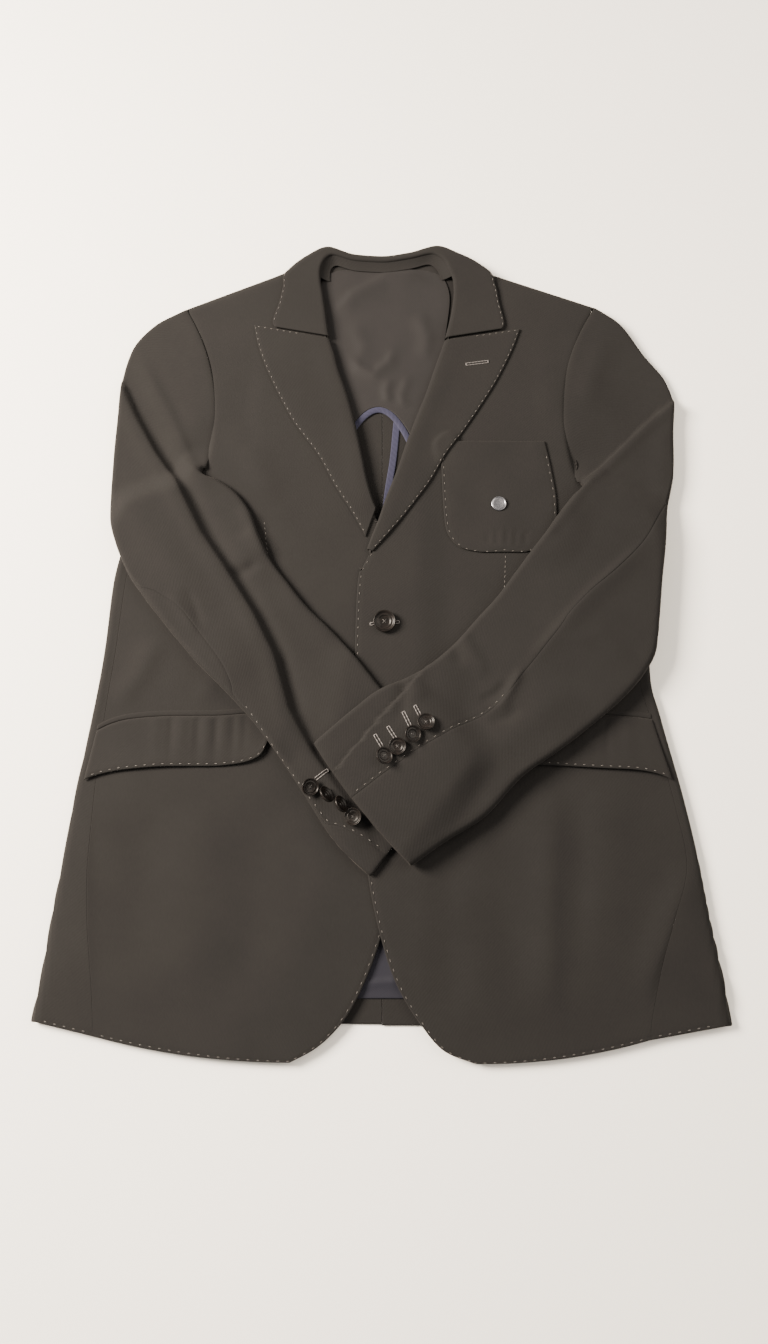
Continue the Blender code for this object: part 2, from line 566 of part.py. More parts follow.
def makeSleeve(side, rows, fold, below):
    plan = ladder([row[:5] for row in rows])
    rest = restHeight(plan, below, sleeveSpread, sleeveBlur)
    label = "left" if side > 0 else "right"

    def inwards(u, v):
        """Direction from an edge of the sleeve into it, square to that edge."""
        ax, ay = plan(u, max(v - 0.01, 0.0))
        bx, by = plan(u, min(v + 0.01, 1.0))
        turn = side if u == 0 else -side
        square = Vector((-turn * (ay - by), -turn * (bx - ax))).normalized()
        ax, ay = plan(u, v)
        bx, by = plan(1 - u, v)
        across = Vector((bx - ax, by - ay)).normalized()
        row = v * (len(rows) - 1)
        share = smooth(row) if u == 0 else smooth((row - 2) / 5)
        return across.lerp(square, share).normalized()

    def ring(q, v):
        """The sleeve's outside at v: q from 0 to 1 on top, to 2 round the inner edge, to 3 below and to 4
        round the outer edge."""
        height = sleeveHeight + (sleeveHeadHeight - sleeveHeight) * smooth(1 - v * (len(rows) - 1) / headRows)
        r = height / 2
        q = q % 4
        edge = 0 if q > 3 else 1
        angle = (q % 1) * math.pi
        if 1 < q < 2 or q > 3:
            out = r * (1 - math.sin(angle))
            up = (1 + math.cos(angle)) / 2 if edge else (1 - math.cos(angle)) / 2
            x, y = plan(edge, v)
            nx, ny = inwards(edge, v)
            x += nx * out
            y += ny * out
        else:
            t, up = (q, 1.0) if q <= 1 else (3 - q, 0.0)
            outer, inner = inwards(0, v), inwards(1, v)
            x, y = plan(t, v)
            x += r * (outer[0] * (1 - t) + inner[0] * t)
            y += r * (outer[1] * (1 - t) + inner[1] * t)
        x += side * seamGap * (1 - smooth(v * (len(rows) - 1)))
        raised = foldRise * rowAt(rows, v)[6] * smooth(0.5 - sideOf(fold, x, y) / foldWidth)
        ground = rest(x, y)
        ground += seamGap * min(ground, 1.0)
        return x, y, ground + (height + raised) * up

    def seamShare(v):
        return rowAt(rows, v)[5]

    def topFace(u, v):
        start = seamShare(v)
        q = start + (1 - start) * u if u <= 1 else u
        return ring(q, v)

    def underFace(u, v):
        end = seamShare(v) - 2 * seamGap / sleeveWidth
        start = 2 + underSeam + 4 * seamGap / sleeveWidth
        if u <= 1:
            return ring(start + (3 - start) * u, v)
        if u <= 2:
            return ring(2 + u, v)
        return ring(4 + end * (u - 2), v)

    arc = [1 / 6 * i for i in range(1, 7)]
    vs = steps(0, 1, len(rows) - 1)
    topUs = steps(0, 1, 8) + [1 + a for a in arc] + [2 + underSeam]
    underUs = steps(0, 1, 5) + [1 + a for a in arc] + steps(2, 3, 3)[1:]
    return {"topsleeve_" + label: cloth("topsleeve_" + label, topFace, topUs, vs, wallSleeve),
            "undersleeve_" + label: cloth("undersleeve_" + label, underFace, underUs, vs, wallSleeve)}


def highestUnder(x, y, radius, below):
    """Top of the pieces below a round piece."""
    graph = bpy.context.evaluated_depsgraph_get()
    graph.update()
    trees = [BVHTree.FromObject(piece, graph) for piece in below]
    top = 0.0
    for ring in (0.0, 0.5, 1.0):
        for k in range(12):
            angle = k * math.pi / 6
            startX = (x + ring * radius * math.cos(angle)) * mm
            startY = (y + ring * radius * math.sin(angle)) * mm
            for tree in trees:
                hit = tree.ray_cast(Vector((startX, startY, 1)), Vector((0, 0, -1)))[0]
                if hit is not None:
                    top = max(top, hit.z / mm)
    return top


def makeDisc(name, x, y, z, size, colour, roughness, metallic=0.0, sides=16):
    """A turned disc with a raised, rounded rim: size is its diameter and thickness."""
    radius, thick = size[0] / 2, size[1]
    profile = [(0.0, 0.0), (radius * 0.72, 0.0), (radius, thick * 0.35), (radius, thick * 0.7),
               (radius * 0.9, thick), (radius * 0.74, thick * 0.92), (radius * 0.6, thick * 0.66),
               (0.0, thick * 0.6)]
    bm = bmesh.new()
    verts = [bm.verts.new((r * mm, 0, h * mm)) for r, h in profile]
    edges = [bm.edges.new(pair) for pair in zip(verts, verts[1:])]
    bmesh.ops.spin(bm, geom=verts + edges, cent=(0, 0, 0), axis=(0, 0, 1), angle=2 * math.pi, steps=sides,
                   use_merge=True)
    bmesh.ops.remove_doubles(bm, verts=bm.verts, dist=0.00001)
    bmesh.ops.recalc_face_normals(bm, faces=bm.faces)
    bmesh.ops.translate(bm, verts=bm.verts, vec=(x * mm, y * mm, z * mm))
    return addObject(name, bm, colour, roughness, metallic)


def makeButtons(pieces):
    def place(name, spot, size, below, colour, roughness, metallic=0.0, sides=16):
        top = highestUnder(*spot, size[0] / 2 + 3, [pieces[key] for key in below])
        pieces[name] = makeDisc(name, *spot, top + seamGap, size, colour, roughness, metallic, sides)
    place("front_button", frontButtonPlace, frontButton, ["front_left"], hornColour, 0.35, 0.0, 24)
    place("pin", pinPlace, pinSize, ["patch_pocket"], metalColour, 0.3, 1.0)
    for i, spot in enumerate(leftCuffButtons):
        place(f"cuff_button_left_{i + 1}", spot, cuffButton, ["topsleeve_left", "undersleeve_left"],
              hornColour, 0.35)
    for i, spot in enumerate(rightCuffButtons):
        place(f"cuff_button_right_{i + 1}", spot, cuffButton, ["topsleeve_right", "undersleeve_right"],
              hornColour, 0.35)


def makeJacket():
    for old in list(bpy.data.objects):
        bpy.data.objects.remove(old, do_unlink=True)
    pieces = makeBody()
    pieces.update(makePockets())
    pieces.update(makeLapels([pieces["patch_pocket"]]))
    pieces.update(makeCollar())
    body = list(pieces.values())
    pieces.update(makeLinings())
    pieces.update(makeSleeve(-1, sleeveRight, foldRight, body))
    body += [pieces["topsleeve_right"], pieces["undersleeve_right"]]
    pieces.update(makeSleeve(1, sleeveLeft, foldLeft, body))
    makeButtons(pieces)
    shift = Matrix.Translation((middleShift[0] * mm, middleShift[1] * mm, 0))
    for piece in pieces.values():
        piece.data.transform(shift)


makeJacket()
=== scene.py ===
# A tailored jacket laid flat on its back on a pale table, with its sleeves crossed on its front.
# Tables are in millimetres on the plan: x to the viewer's right, y to the collar. Left and right are the
# wearer's, so a left piece has x > 0.
import math

import bmesh
import bpy
import numpy as np
from mathutils import Matrix, Vector
from mathutils.bvhtree import BVHTree


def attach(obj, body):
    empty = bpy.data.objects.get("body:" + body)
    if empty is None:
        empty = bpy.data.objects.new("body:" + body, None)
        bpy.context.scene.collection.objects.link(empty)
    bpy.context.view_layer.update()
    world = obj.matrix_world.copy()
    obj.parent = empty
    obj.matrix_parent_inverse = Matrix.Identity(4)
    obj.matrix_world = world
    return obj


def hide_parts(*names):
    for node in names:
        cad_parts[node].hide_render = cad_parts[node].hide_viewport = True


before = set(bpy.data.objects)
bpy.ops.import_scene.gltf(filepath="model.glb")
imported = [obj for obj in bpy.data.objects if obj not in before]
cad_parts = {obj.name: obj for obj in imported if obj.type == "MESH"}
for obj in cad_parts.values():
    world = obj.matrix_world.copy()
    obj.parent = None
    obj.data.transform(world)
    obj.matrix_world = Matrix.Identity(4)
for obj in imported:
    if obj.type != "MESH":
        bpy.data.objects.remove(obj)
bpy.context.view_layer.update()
print("frame loaded:", len(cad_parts), "nodes")

mm = 0.001
seamGap = 0.3
planShift = (0.5, 4.74)  # from the tables' plan to the frame
edgeSteps = (0.0, 0.5, 1.2, 2.1, 3.2, 4.6, 6.6)  # rows close together along every edge
rollRadius = 2.3  # of the lapels and the collar
foldFade = 0.3  # share of a crease's length over which each end fades
stitchDip = {"steady": 0.16, "pulled": 0.34, "width": 1.1}  # how a pick stitch pulls the cloth in
waveMix = {"count": 6, "lengths": (0.7, 1.6), "share": 3.2}  # how many waves are mixed, and their spread
sideName = {-1: "Right", 1: "Left"}
trees = {}  # each finished cloth, for what is laid on it
grids = {}  # its points and stitches


# numbers along tables
def smooth(t):
    t = np.clip(t, 0.0, 1.0)
    return t * t * (3 - 2 * t)


def ramp(value, start, width):
    # from 0 at start to 1 past the width, which is negative where the ramp falls
    return smooth((value - start) / width)


def curveAt(values, t):
    values = np.asarray(values, float)
    t = np.asarray(t, float)
    k = np.clip(t.astype(int), 0, len(values) - 2)
    f = t - k
    steps = np.diff(values)
    slope = np.empty(len(values))
    slope[0], slope[-1] = steps[0], steps[-1]
    both = steps[:-1] * steps[1:]
    total = np.where(np.abs(steps[:-1] + steps[1:]) < 1e-9, 1.0, steps[:-1] + steps[1:])
    slope[1:-1] = np.where(both > 0, 2 * both / total, 0.0)  # never overshoots
    h = f * f * (3 - 2 * f)
    return (values[k] * (1 - h) + values[k + 1] * h
            + slope[k] * f * (1 - f) ** 2 - slope[k + 1] * f * f * (1 - f))


def rowsAt(rows, v):
    return [curveAt(column, np.asarray(v) * (len(rows) - 1)) for column in zip(*rows)]


def planAt(rows, u, v):
    row = rowsAt(rows, v)
    ax, ay, bx, by = row[:4]
    bow = row[4] * 4 * u * (1 - u) if len(row) > 4 else 0.0
    length = np.hypot(bx - ax, by - ay)
    x = ax + (bx - ax) * u - (by - ay) / length * bow
    return x, ay + (by - ay) * u + (bx - ax) / length * bow


def fromLine(line, x, y):
    # distance to a line of points, positive on its left, and the share along it
    x, y = np.asarray(x, float), np.asarray(y, float)
    best = np.full(x.shape, 1e9)
    share = np.zeros(x.shape)
    lengths = [math.dist(a, b) for a, b in zip(line, line[1:])]
    done = 0.0
    for (ax, ay), (bx, by), length in zip(line, line[1:], lengths):
        t = np.clip(((x - ax) * (bx - ax) + (y - ay) * (by - ay)) / length ** 2, 0.0, 1.0)
        away = np.hypot(x - ax - (bx - ax) * t, y - ay - (by - ay) * t)
        side = (bx - ax) * (y - ay) - (by - ay) * (x - ax)
        nearer = away < np.abs(best)
        best = np.where(nearer, np.where(side >= 0, away, -away), best)
        share = np.where(nearer, (done + length * t) / sum(lengths), share)
        done += length
    return best, share


def foldsAt(folds, x, y):
    # soft creases: each is a line, its height, its width on the left and on the right
    total = np.zeros(np.shape(x))
    for line, height, leftWidth, rightWidth in folds:
        away, share = fromLine(line, x, y)
        width = np.where(away >= 0, leftWidth, rightWidth)
        ends = smooth(share / foldFade) * smooth((1 - share) / foldFade)
        total = total + height * np.exp(-(away / width) ** 2) * ends
    return total


def waves(x, y, length, seed):
    # slow, irregular waves between about -1 and 1
    draw = np.random.default_rng(seed)
    total = np.zeros(np.shape(x))
    for _ in range(waveMix["count"]):
        angle, phase = draw.uniform(0, math.pi), draw.uniform(0, 2 * math.pi)
        wave = 2 * math.pi / (length * draw.uniform(*waveMix["lengths"]))
        total = total + np.sin(wave * (x * math.cos(angle) + y * math.sin(angle)) + phase)
    return total / waveMix["share"]


# cloth
def spaced(length, step):
    # places along a length: close together at both ends, about one step apart between
    fine = np.array(edgeSteps) * min(1.0, 0.4 * length / edgeSteps[-1])
    count = max(int(round((length - 2 * fine[-1]) / step)), 1)
    inner = fine[-1] + (length - 2 * fine[-1]) * np.arange(1, count) / count
    return np.concatenate([fine, inner, length - fine[::-1]])


def runAlong(points):
    # length along each row of points, from its first
    run = np.cumsum(np.linalg.norm(np.diff(points, axis=-1), axis=0), axis=-1)
    return np.concatenate([np.zeros(run.shape[:-1] + (1,)), run], axis=-1)


def layGrid(surface, across, along):
    # points of a cloth surface in rows: evenly spaced, and close together at its edges
    us, vs = np.linspace(0, 1, 49), np.linspace(0, 1, 161)
    run = np.mean([runAlong(np.array(surface(np.full(len(vs), u), vs))) for u in (0.02, 0.5, 0.98)], axis=0)
    v = np.interp(spaced(run[-1], along), run, vs)
    run = runAlong(np.array(surface(np.tile(us, (len(v), 1)), np.tile(v[:, None], (1, len(us))))))
    width = float(np.mean(run[:, -1]))
    columns = spaced(width, across)
    fineCount = len(edgeSteps)
    grid = np.empty((len(v), len(columns)))
    for j, reach in enumerate(run):
        scale = min(1.0, 0.45 * reach[-1] / columns[fineCount - 1])
        left = columns[:fineCount] * scale
        middle = columns[fineCount:-fineCount] - columns[fineCount - 1]
        middle = middle / (width - 2 * columns[fineCount - 1])
        inner = left[-1] + middle * (reach[-1] - 2 * left[-1])
        wanted = np.concatenate([left, inner, reach[-1] - left[::-1]])
        grid[j] = np.interp(wanted, reach, us)
    v = np.tile(v[:, None], (1, len(columns)))
    return grid, v, np.array(surface(grid, v))


def normalsOf(points, hollow=False):
    # unit normals of a grid of points: out of a tube, or else up on the piece's upper half
    normals = np.cross(np.gradient(points, axis=2), np.gradient(points, axis=1), axis=0)
    if hollow:
        turn = 1 if (normals * (points - points.mean(axis=2, keepdims=True))).sum() > 0 else -1
    else:
        upper = points[2] >= (points[2].min() + points[2].max()) / 2
        turn = 1 if normals[2][upper].sum() > 0 else -1
    return turn * normals / np.maximum(np.linalg.norm(normals, axis=0), 1e-9)


def edgeLine(grid, edge, inset):
    # the line at a distance inside one edge of a grid: left, right, start or end
    points = grid["points"]
    side = {"left": points, "right": points[:, :, ::-1], "start": points.transpose(0, 2, 1),
            "end": points[:, ::-1].transpose(0, 2, 1)}[edge]
    run = runAlong(side)
    line = np.empty((3, side.shape[1]))
    for j in range(side.shape[1]):
        for k in range(3):
            line[k, j] = np.interp(inset, run[j], side[k, j])
    return line, runAlong(line), run


def turnBack(values, edge):
    # values in rows that run in from an edge, put back in the grid's own rows
    return {"left": values, "right": values[:, ::-1], "start": values.T, "end": values.T[::-1]}[edge]


def finishEdges(grid, edges, drop, reach):
    # rounds the outer face down over the finished edges, one after another; an edge may bring its own drop
    # and reach, which those after it keep
    points = grid["points"]
    for edge in edges:
        edge, drop, reach = (edge, drop, reach) if isinstance(edge, str) else edge
        near = np.clip(turnBack(edgeLine(grid, edge, 0.0)[2], edge) / reach, 0, 1)
        points -= grid["normals"] * drop * (1 - np.sqrt(np.maximum(1 - (1 - near) ** 2, 0)))


def pinchStitches(grid, stitches):
    # small dips where pick stitches pull the cloth in
    for edge, inset, spacing, start, stop in stitches:
        line, lengths, run = edgeLine(grid, edge, inset)
        share = lengths / lengths[-1]
        pull = smooth((share - start) / 0.01 + 0.5) * smooth((stop - share) / 0.01 + 0.5)
        pulled = 0.5 + 0.5 * np.cos(2 * math.pi * lengths / spacing)
        pull *= stitchDip["steady"] + stitchDip["pulled"] * pulled
        dips = pull[:, None] * np.exp(-((run - inset) / stitchDip["width"]) ** 2)
        grid["points"] -= grid["normals"] * turnBack(dips, edge)


def makeCloth(name, surface, across, along, wall, edges=(), stitches=(), drop=0.9, reach=1.8, hollow=False):
    # a cloth piece: its outer face from surface(u, v), rounded edges and a wall inwards
    grid, v, points = layGrid(surface, across, along)
    made = {"points": points, "normals": normalsOf(points, hollow)}
    finishEdges(made, edges, drop, reach)
    pinchStitches(made, stitches)
    made["normals"] = normalsOf(points, hollow)
    made["stitches"] = stitches
    rows, columns = grid.shape
    bm = bmesh.new()
    bmesh.ops.create_grid(bm, x_segments=columns - 1, y_segments=rows - 1, size=1)
    flat = np.array([vert.co[:2] for vert in bm.verts])
    i = np.rint((flat[:, 0] + 1) / 2 * (columns - 1)).astype(int)
    j = np.rint((flat[:, 1] + 1) / 2 * (rows - 1)).astype(int)
    places = points[:, j, i].T + np.array([planShift[0], planShift[1], 0.0])
    for vert, place in zip(bm.verts, places):
        vert.co = place * mm
    bm.normal_update()
    out = made["normals"][:, j, i].T
    if sum(face.normal.dot(Vector(out[face.verts[0].index])) * face.calc_area() for face in bm.faces) < 0:
        bmesh.ops.reverse_faces(bm, faces=bm.faces)
    trees[name] = BVHTree.FromBMesh(bm)
    grids[name] = made
    mesh = bpy.data.meshes.new(name)
    bm.to_mesh(mesh)
    bm.free()
    # the weave runs along the piece: its own map, in metres on the flat cloth
    rowStep = np.linalg.norm(np.diff(points, axis=1), axis=0).mean(axis=1)
    down = np.concatenate([[0], np.cumsum(rowStep)])
    width = runAlong(points)
    width -= width[:, -1:] / 2
    corner = np.empty(len(mesh.loops), np.int32)
    mesh.loops.foreach_get("vertex_index", corner)
    cut = np.stack([width[j, i], down[j]], axis=1)[corner] * mm
    mesh.uv_layers.new(name="cut").data.foreach_set("uv", cut.ravel().astype(np.float32))
    mesh.shade_smooth()
    piece = bpy.data.objects.new(name, mesh)
    bpy.context.scene.collection.objects.link(piece)
    solidify = piece.modifiers.new("Wall", "SOLIDIFY")
    solidify.thickness = wall * mm
    solidify.offset = -1.0
    if hollow:
        solidify.material_offset = 1  # the lining inside
    return piece


def dress(piece, nodes, material, linedWith=None):
    piece.data.materials.append(material)
    if linedWith is not None:
        piece.data.materials.append(linedWith)
    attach(piece, "root")
    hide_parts(*nodes)
    return piece


def dressCloth(piece, nodes, material, linedWith=None):
    # dresses a cloth piece as dress does; the tables' cut is the flat width and length in mm, and the share
    # of that rectangle that is cloth
    dress(piece, nodes, material, linedWith)


# materials
def linear(hexColour):
    values = [int(hexColour[i:i + 2], 16) / 255 for i in (1, 3, 5)]
    return tuple(v / 12.92 if v <= 0.04045 else ((v + 0.055) / 1.055) ** 2.4 for v in values) + (1.0,)


def addNode(tree, kind, settings=None, inputs=None):
    # adds a node, sets it and its sockets, and links the sockets that are given another's output
    node = tree.nodes.new(kind)
    for key, value in (settings or {}).items():
        setattr(node, key, value)
    for key, value in (inputs or {}).items():
        if isinstance(value, bpy.types.NodeSocket):
            tree.links.new(value, node.inputs[key])
        else:
            node.inputs[key].default_value = value
    return node


def startMaterial(name, values):
    material = bpy.data.materials.new(name)
    material.use_nodes = True
    shader = material.node_tree.nodes["Principled BSDF"]
    for key, value in values.items():
        shader.inputs[key].default_value = value
    return material, material.node_tree, shader


# lengths in metres; the twill and the nap are drawn coarser than real ones, so that they show
brushedCotton = {  # cotton moleskin with a suede-like finish: matte, with a soft light nap
    "dark": "#181717", "light": "#21201f", "roughness": 0.95, "specular": 0.1, "sheen": 0.045,
    "sheenRoughness": 0.45, "sheenTint": "#b8aea8", "patchSize": 0.045, "threadSpacing": 0.0007,
    "napSize": 0.0016, "napLean": 0.35, "bump": 0.35, "bumpDepth": 0.0004}
cupro = {  # cupro lining: smooth and near black, with a faint lustre
    "dark": "#110f0f", "light": "#181616", "roughness": 0.7, "sheen": 0.05, "threadSpacing": 0.0005}
twillTape = {  # cotton tape: matte, with wales that show from a step away
    "dark": "#1c1c2c", "light": "#272739", "roughness": 0.75, "sheen": 0.05, "threadSpacing": 0.0012}
skirtSatin = {  # satin lining: even, darker and cooler than the cloth
    "dark": "#0f0f17", "light": "#171720", "roughness": 0.7, "sheen": 0.04, "threadSpacing": 0.0005}
weave = {"specular": 0.2, "cloudScale": 45.0, "bump": 0.25, "bumpDepth": 0.0002}  # what these three share


def waleScale(spacing):
    # a wave of scale 1 repeats every 0.44 m across its diagonal: this makes it three threads
    return 1 / spacing / 7


def makeBrushedCotton():
    v = brushedCotton
    material, tree, shader = startMaterial("brushed cotton moleskin", {
        "Roughness": v["roughness"], "Sheen Weight": v["sheen"], "Sheen Roughness": v["sheenRoughness"],
        "Sheen Tint": linear(v["sheenTint"]), "Specular IOR Level": v["specular"]})
    cut = addNode(tree, "ShaderNodeUVMap", {"uv_map": "cut"}).outputs["UV"]
    place = addNode(tree, "ShaderNodeTexCoord").outputs["Object"]
    patches = addNode(tree, "ShaderNodeTexNoise", None, {
        "Vector": place, "Scale": 1 / v["patchSize"], "Detail": 4.0, "Roughness": 0.6})
    napCoords = addNode(tree, "ShaderNodeMapping", None, {"Vector": cut, "Scale": (1.0, v["napLean"], 1.0)})
    nap = addNode(tree, "ShaderNodeTexNoise", None, {
        "Vector": napCoords.outputs["Vector"], "Scale": 1 / v["napSize"], "Detail": 3.0, "Roughness": 0.7})
    threads = addNode(tree, "ShaderNodeTexWave", {"wave_type": "BANDS", "bands_direction": "DIAGONAL"}, {
        "Vector": cut, "Scale": waleScale(v["threadSpacing"]), "Distortion": 2.5, "Detail": 2.0,
        "Detail Scale": 1.5})
    blend = addNode(tree, "ShaderNodeMath", {"operation": "MULTIPLY_ADD"}, {
        0: patches.outputs["Fac"], 1: 0.55, 2: -0.06})
    blend = addNode(tree, "ShaderNodeMath", {"operation": "MULTIPLY_ADD"}, {
        0: nap.outputs["Fac"], 1: 0.5, 2: blend.outputs[0]})
    colour = addNode(tree, "ShaderNodeMix", {"data_type": "RGBA"}, {
        "Factor": blend.outputs[0], "A": linear(v["dark"]), "B": linear(v["light"])})
    tree.links.new(colour.outputs["Result"], shader.inputs["Base Color"])
    height = addNode(tree, "ShaderNodeMath", {"operation": "MULTIPLY_ADD"}, {
        0: threads.outputs["Fac"], 1: 0.35, 2: nap.outputs["Fac"]})
    bump = addNode(tree, "ShaderNodeBump", None, {
        "Strength": v["bump"], "Distance": v["bumpDepth"], "Height": height.outputs[0]})
    tree.links.new(bump.outputs["Normal"], shader.inputs["Normal"])
    return material


def makeWoven(name, v):
    # lining, tape and satin: a fine even weave with a slight lustre
    material, tree, shader = startMaterial(name, {
        "Roughness": v["roughness"], "Sheen Weight": v["sheen"], "Specular IOR Level": weave["specular"]})
    cut = addNode(tree, "ShaderNodeUVMap", {"uv_map": "cut"}).outputs["UV"]
    place = addNode(tree, "ShaderNodeTexCoord").outputs["Object"]
    threads = addNode(tree, "ShaderNodeTexWave", {"wave_type": "BANDS", "bands_direction": "DIAGONAL"}, {
        "Vector": cut, "Scale": waleScale(v["threadSpacing"]), "Distortion": 0.6, "Detail": 1.0})
    cloudy = addNode(tree, "ShaderNodeTexNoise", None, {
        "Vector": place, "Scale": weave["cloudScale"], "Detail": 3.0})
    blend = addNode(tree, "ShaderNodeMath", {"operation": "MULTIPLY_ADD"}, {
        0: threads.outputs["Fac"], 1: 0.35, 2: cloudy.outputs["Fac"]})
    colour = addNode(tree, "ShaderNodeMix", {"data_type": "RGBA"}, {
        "Factor": blend.outputs[0], "A": linear(v["dark"]), "B": linear(v["light"])})
    tree.links.new(colour.outputs["Result"], shader.inputs["Base Color"])
    bump = addNode(tree, "ShaderNodeBump", None, {
        "Strength": weave["bump"], "Distance": weave["bumpDepth"], "Height": threads.outputs["Fac"]})
    tree.links.new(bump.outputs["Normal"], shader.inputs["Normal"])
    return material


clothMaterial = makeBrushedCotton()
liningMaterial = makeWoven("cupro lining", cupro)
tapeMaterial = makeWoven("woven cotton tape", twillTape)
skirtMaterial = makeWoven("satin body lining", skirtSatin)
print("cloth materials made")


# body: backs, sides and fronts
body = {
    "heights": [(-400, 7.6), (-200, 7.8), (-50, 8.0), (150, 8.4), (300, 8.7), (400, 9.0)],  # y, z of the top
    "wallBack": 2.4, "wallSide": 2.2, "wallFront": 2.4, "sideTurn": 52.0, "shoulderRound": 10.0,
    "shoulderDrop": 1.6, "rollInset": 4.2,
    # lifts, with the start and width of each ramp: in y for the neck, in x and y for the lap of the fronts
    "neckLift": 2.2, "neckFrom": (290, 40), "neckOut": (112, -45),
    "lapRise": 2.8, "lapAcross": (62, -34), "lapTop": (178, -60), "lapFoot": (-378, 70),
    "restless": 0.45, "restLength": 120, "hemCalm": (-372, 40), "underarmGap": 2.4, "underarm": (205, -50)}
headSeam = {
    # a front runs on under its sleeve head: how far, from where below its corner, and how that fades
    "reach": 5.0, "below": 7, "footFade": 6, "topFade": 26, "pull": 12, "pullFade": 20,
    # and it sinks there
    "lip": 0.4, "lipWidth": 2.2, "slope": 1.1, "deepest": 4.0, "sinkFade": 30}
front = {
    # rungs from hem to shoulder: side seam or armhole x, y, front edge or roll x, y, bow
    "rowsRight": [
        (-233, -362, -74, -382, -5), (-234, -350, -53, -371, -3), (-236, -330, -31, -350, -2),
        (-240, -300, -14, -320, 0), (-244, -270, -1, -286, 0), (-247, -225, 13, -240, 0),
        (-246, -173, 18, -180, 0), (-242, -101, 18, -105, 0), (-236, -37, 18, -40, 0), (-231, 30, 18, 22, 0),
        (-221, 78, 14, 60, 0), (-203, 99, 3, 84, 0), (-180, 106, -6, 104, 0), (-169, 121, -11, 125, 0),
        (-163, 152, -17, 150, 0), (-161, 186, -25, 185, 0), (-162, 222, -35, 221, 0),
        (-167, 255, -45, 254, 0), (-173, 274, -52, 278, 0), (-178, 288, -55, 300, 0),
        (-184, 297, -57, 318, 0), (-187, 303, -60, 338, 0), (-189, 307, -61, 351, 0),
        (-190, 309, -62, 364, 0)],
    "rowsLeft": [
        (216, -365, 75, -383, 5), (218, -352, 51, -374, 3), (222, -335, 29, -350, 2),
        (230, -305, 10, -318, 0), (242, -270, -1, -285, 0), (256, -222, -11, -240, 0),
        (249, -173, -18, -180, 0),
        (234, -101, -22, -110, 0), (226, -60, -24, -40, 0), (226, 10, -22, 24, 0), (227, 70, -17, 48, 0),
        (218, 96, -5, 78, 0), (199, 101, 4, 105, 0), (187, 112, 12, 130, 0), (180, 145, 20, 155, 0),
        (176, 180, 30, 185, 0), (175, 215, 42, 218, 0), (181, 250, 53, 252, 0), (189, 275, 61, 278, 0),
        (194, 288, 66, 299, 0), (198, 298, 69, 320, 0), (202, 305, 70, 338, 0), (204, 309, 67, 351, 0),
        (205, 311, 64, 364, 0)],
    # crease line, height, width on its left and on its right
    "foldsRight": [
        ([(-262, -150), (-252, -235), (-240, -345)], 1.6, 9, 16),
        ([(-150, -150), (-156, -250), (-150, -350)], 1.4, 30, 22),
        ([(-236, -94), (-214, -62), (-196, -20)], 1.8, 12, 9),
        ([(-160, -92), (-146, -60), (-136, -30)], 1.0, 9, 9),
        ([(-200, -160), (-204, -250), (-200, -340)], -1.2, 20, 20),
        ([(-100, -160), (-104, -250), (-112, -350)], -1.0, 18, 24),
        ([(-108, 86), (-103, 38)], -0.7, 1.6, 1.6),
        ([(-150, 190), (-120, 150), (-95, 100)], 1.2, 14, 12),
        ([(-128, 252), (-132, 200), (-124, 140)], -1.0, 12, 16),
        ([(-60, -120), (-50, -220), (-70, -330)], 1.2, 26, 20)],
    "foldsLeft": [
        ([(147, -150), (138, -281), (136, -362)], 1.8, 9, 14),
        ([(265, -219), (241, -265), (219, -316), (212, -345)], 2.4, 7, 13),
        ([(196, -150), (190, -230), (176, -300)], 1.2, 22, 18),
        ([(60, -220), (70, -290), (84, -360)], 1.2, 20, 20),
        ([(100, -160), (104, -250), (112, -350)], -1.2, 20, 16),
        ([(170, -150), (166, -230), (160, -330)], -1.0, 10, 10),
        ([(112, 53), (110, 16)], -0.7, 1.6, 1.6),
        ([(150, 262), (160, 230), (158, 190)], 1.0, 14, 12)],
    "cut": (270, 760, 0.78), "across": 4.0, "along": 3.0,
    "stitchesRight": [("right", 2.8, 8.0, 0.0, 0.66), ("start", 2.8, 8.0, 0.0, 0.985)],
    "stitchesLeft": [("right", 2.8, 8.0, 0.0, 0.63), ("start", 2.8, 8.0, 0.0, 0.985)]}
side = {
    # the side fold's x, y beside each rung of the front from the hem up, and where both end at the armhole
    "foldRight": [
        (-285, -351), (-284, -341), (-281, -322), (-278, -295), (-275, -265), (-270, -225), (-264, -170),
        (-254, -101), (-247, -37), (-243, 28), (-233, 74)],
    "foldLeft": [
        (284, -354), (283, -343), (282, -330), (278, -302), (273, -270), (267, -222), (259, -173),
        (244, -101), (237, -60), (238, 10), (239, 66)],
    "topRight": (-214, 92, -227, 90), "topLeft": (222, 88, 235, 86),
    "seamStep": 0.06,  # keeps the panel's seam off the front's
    "cut": (110, 450, 0.72), "across": 4.0, "along": 5.0, "stitches": [("start", 2.8, 8.0, 0.0, 0.42)]}
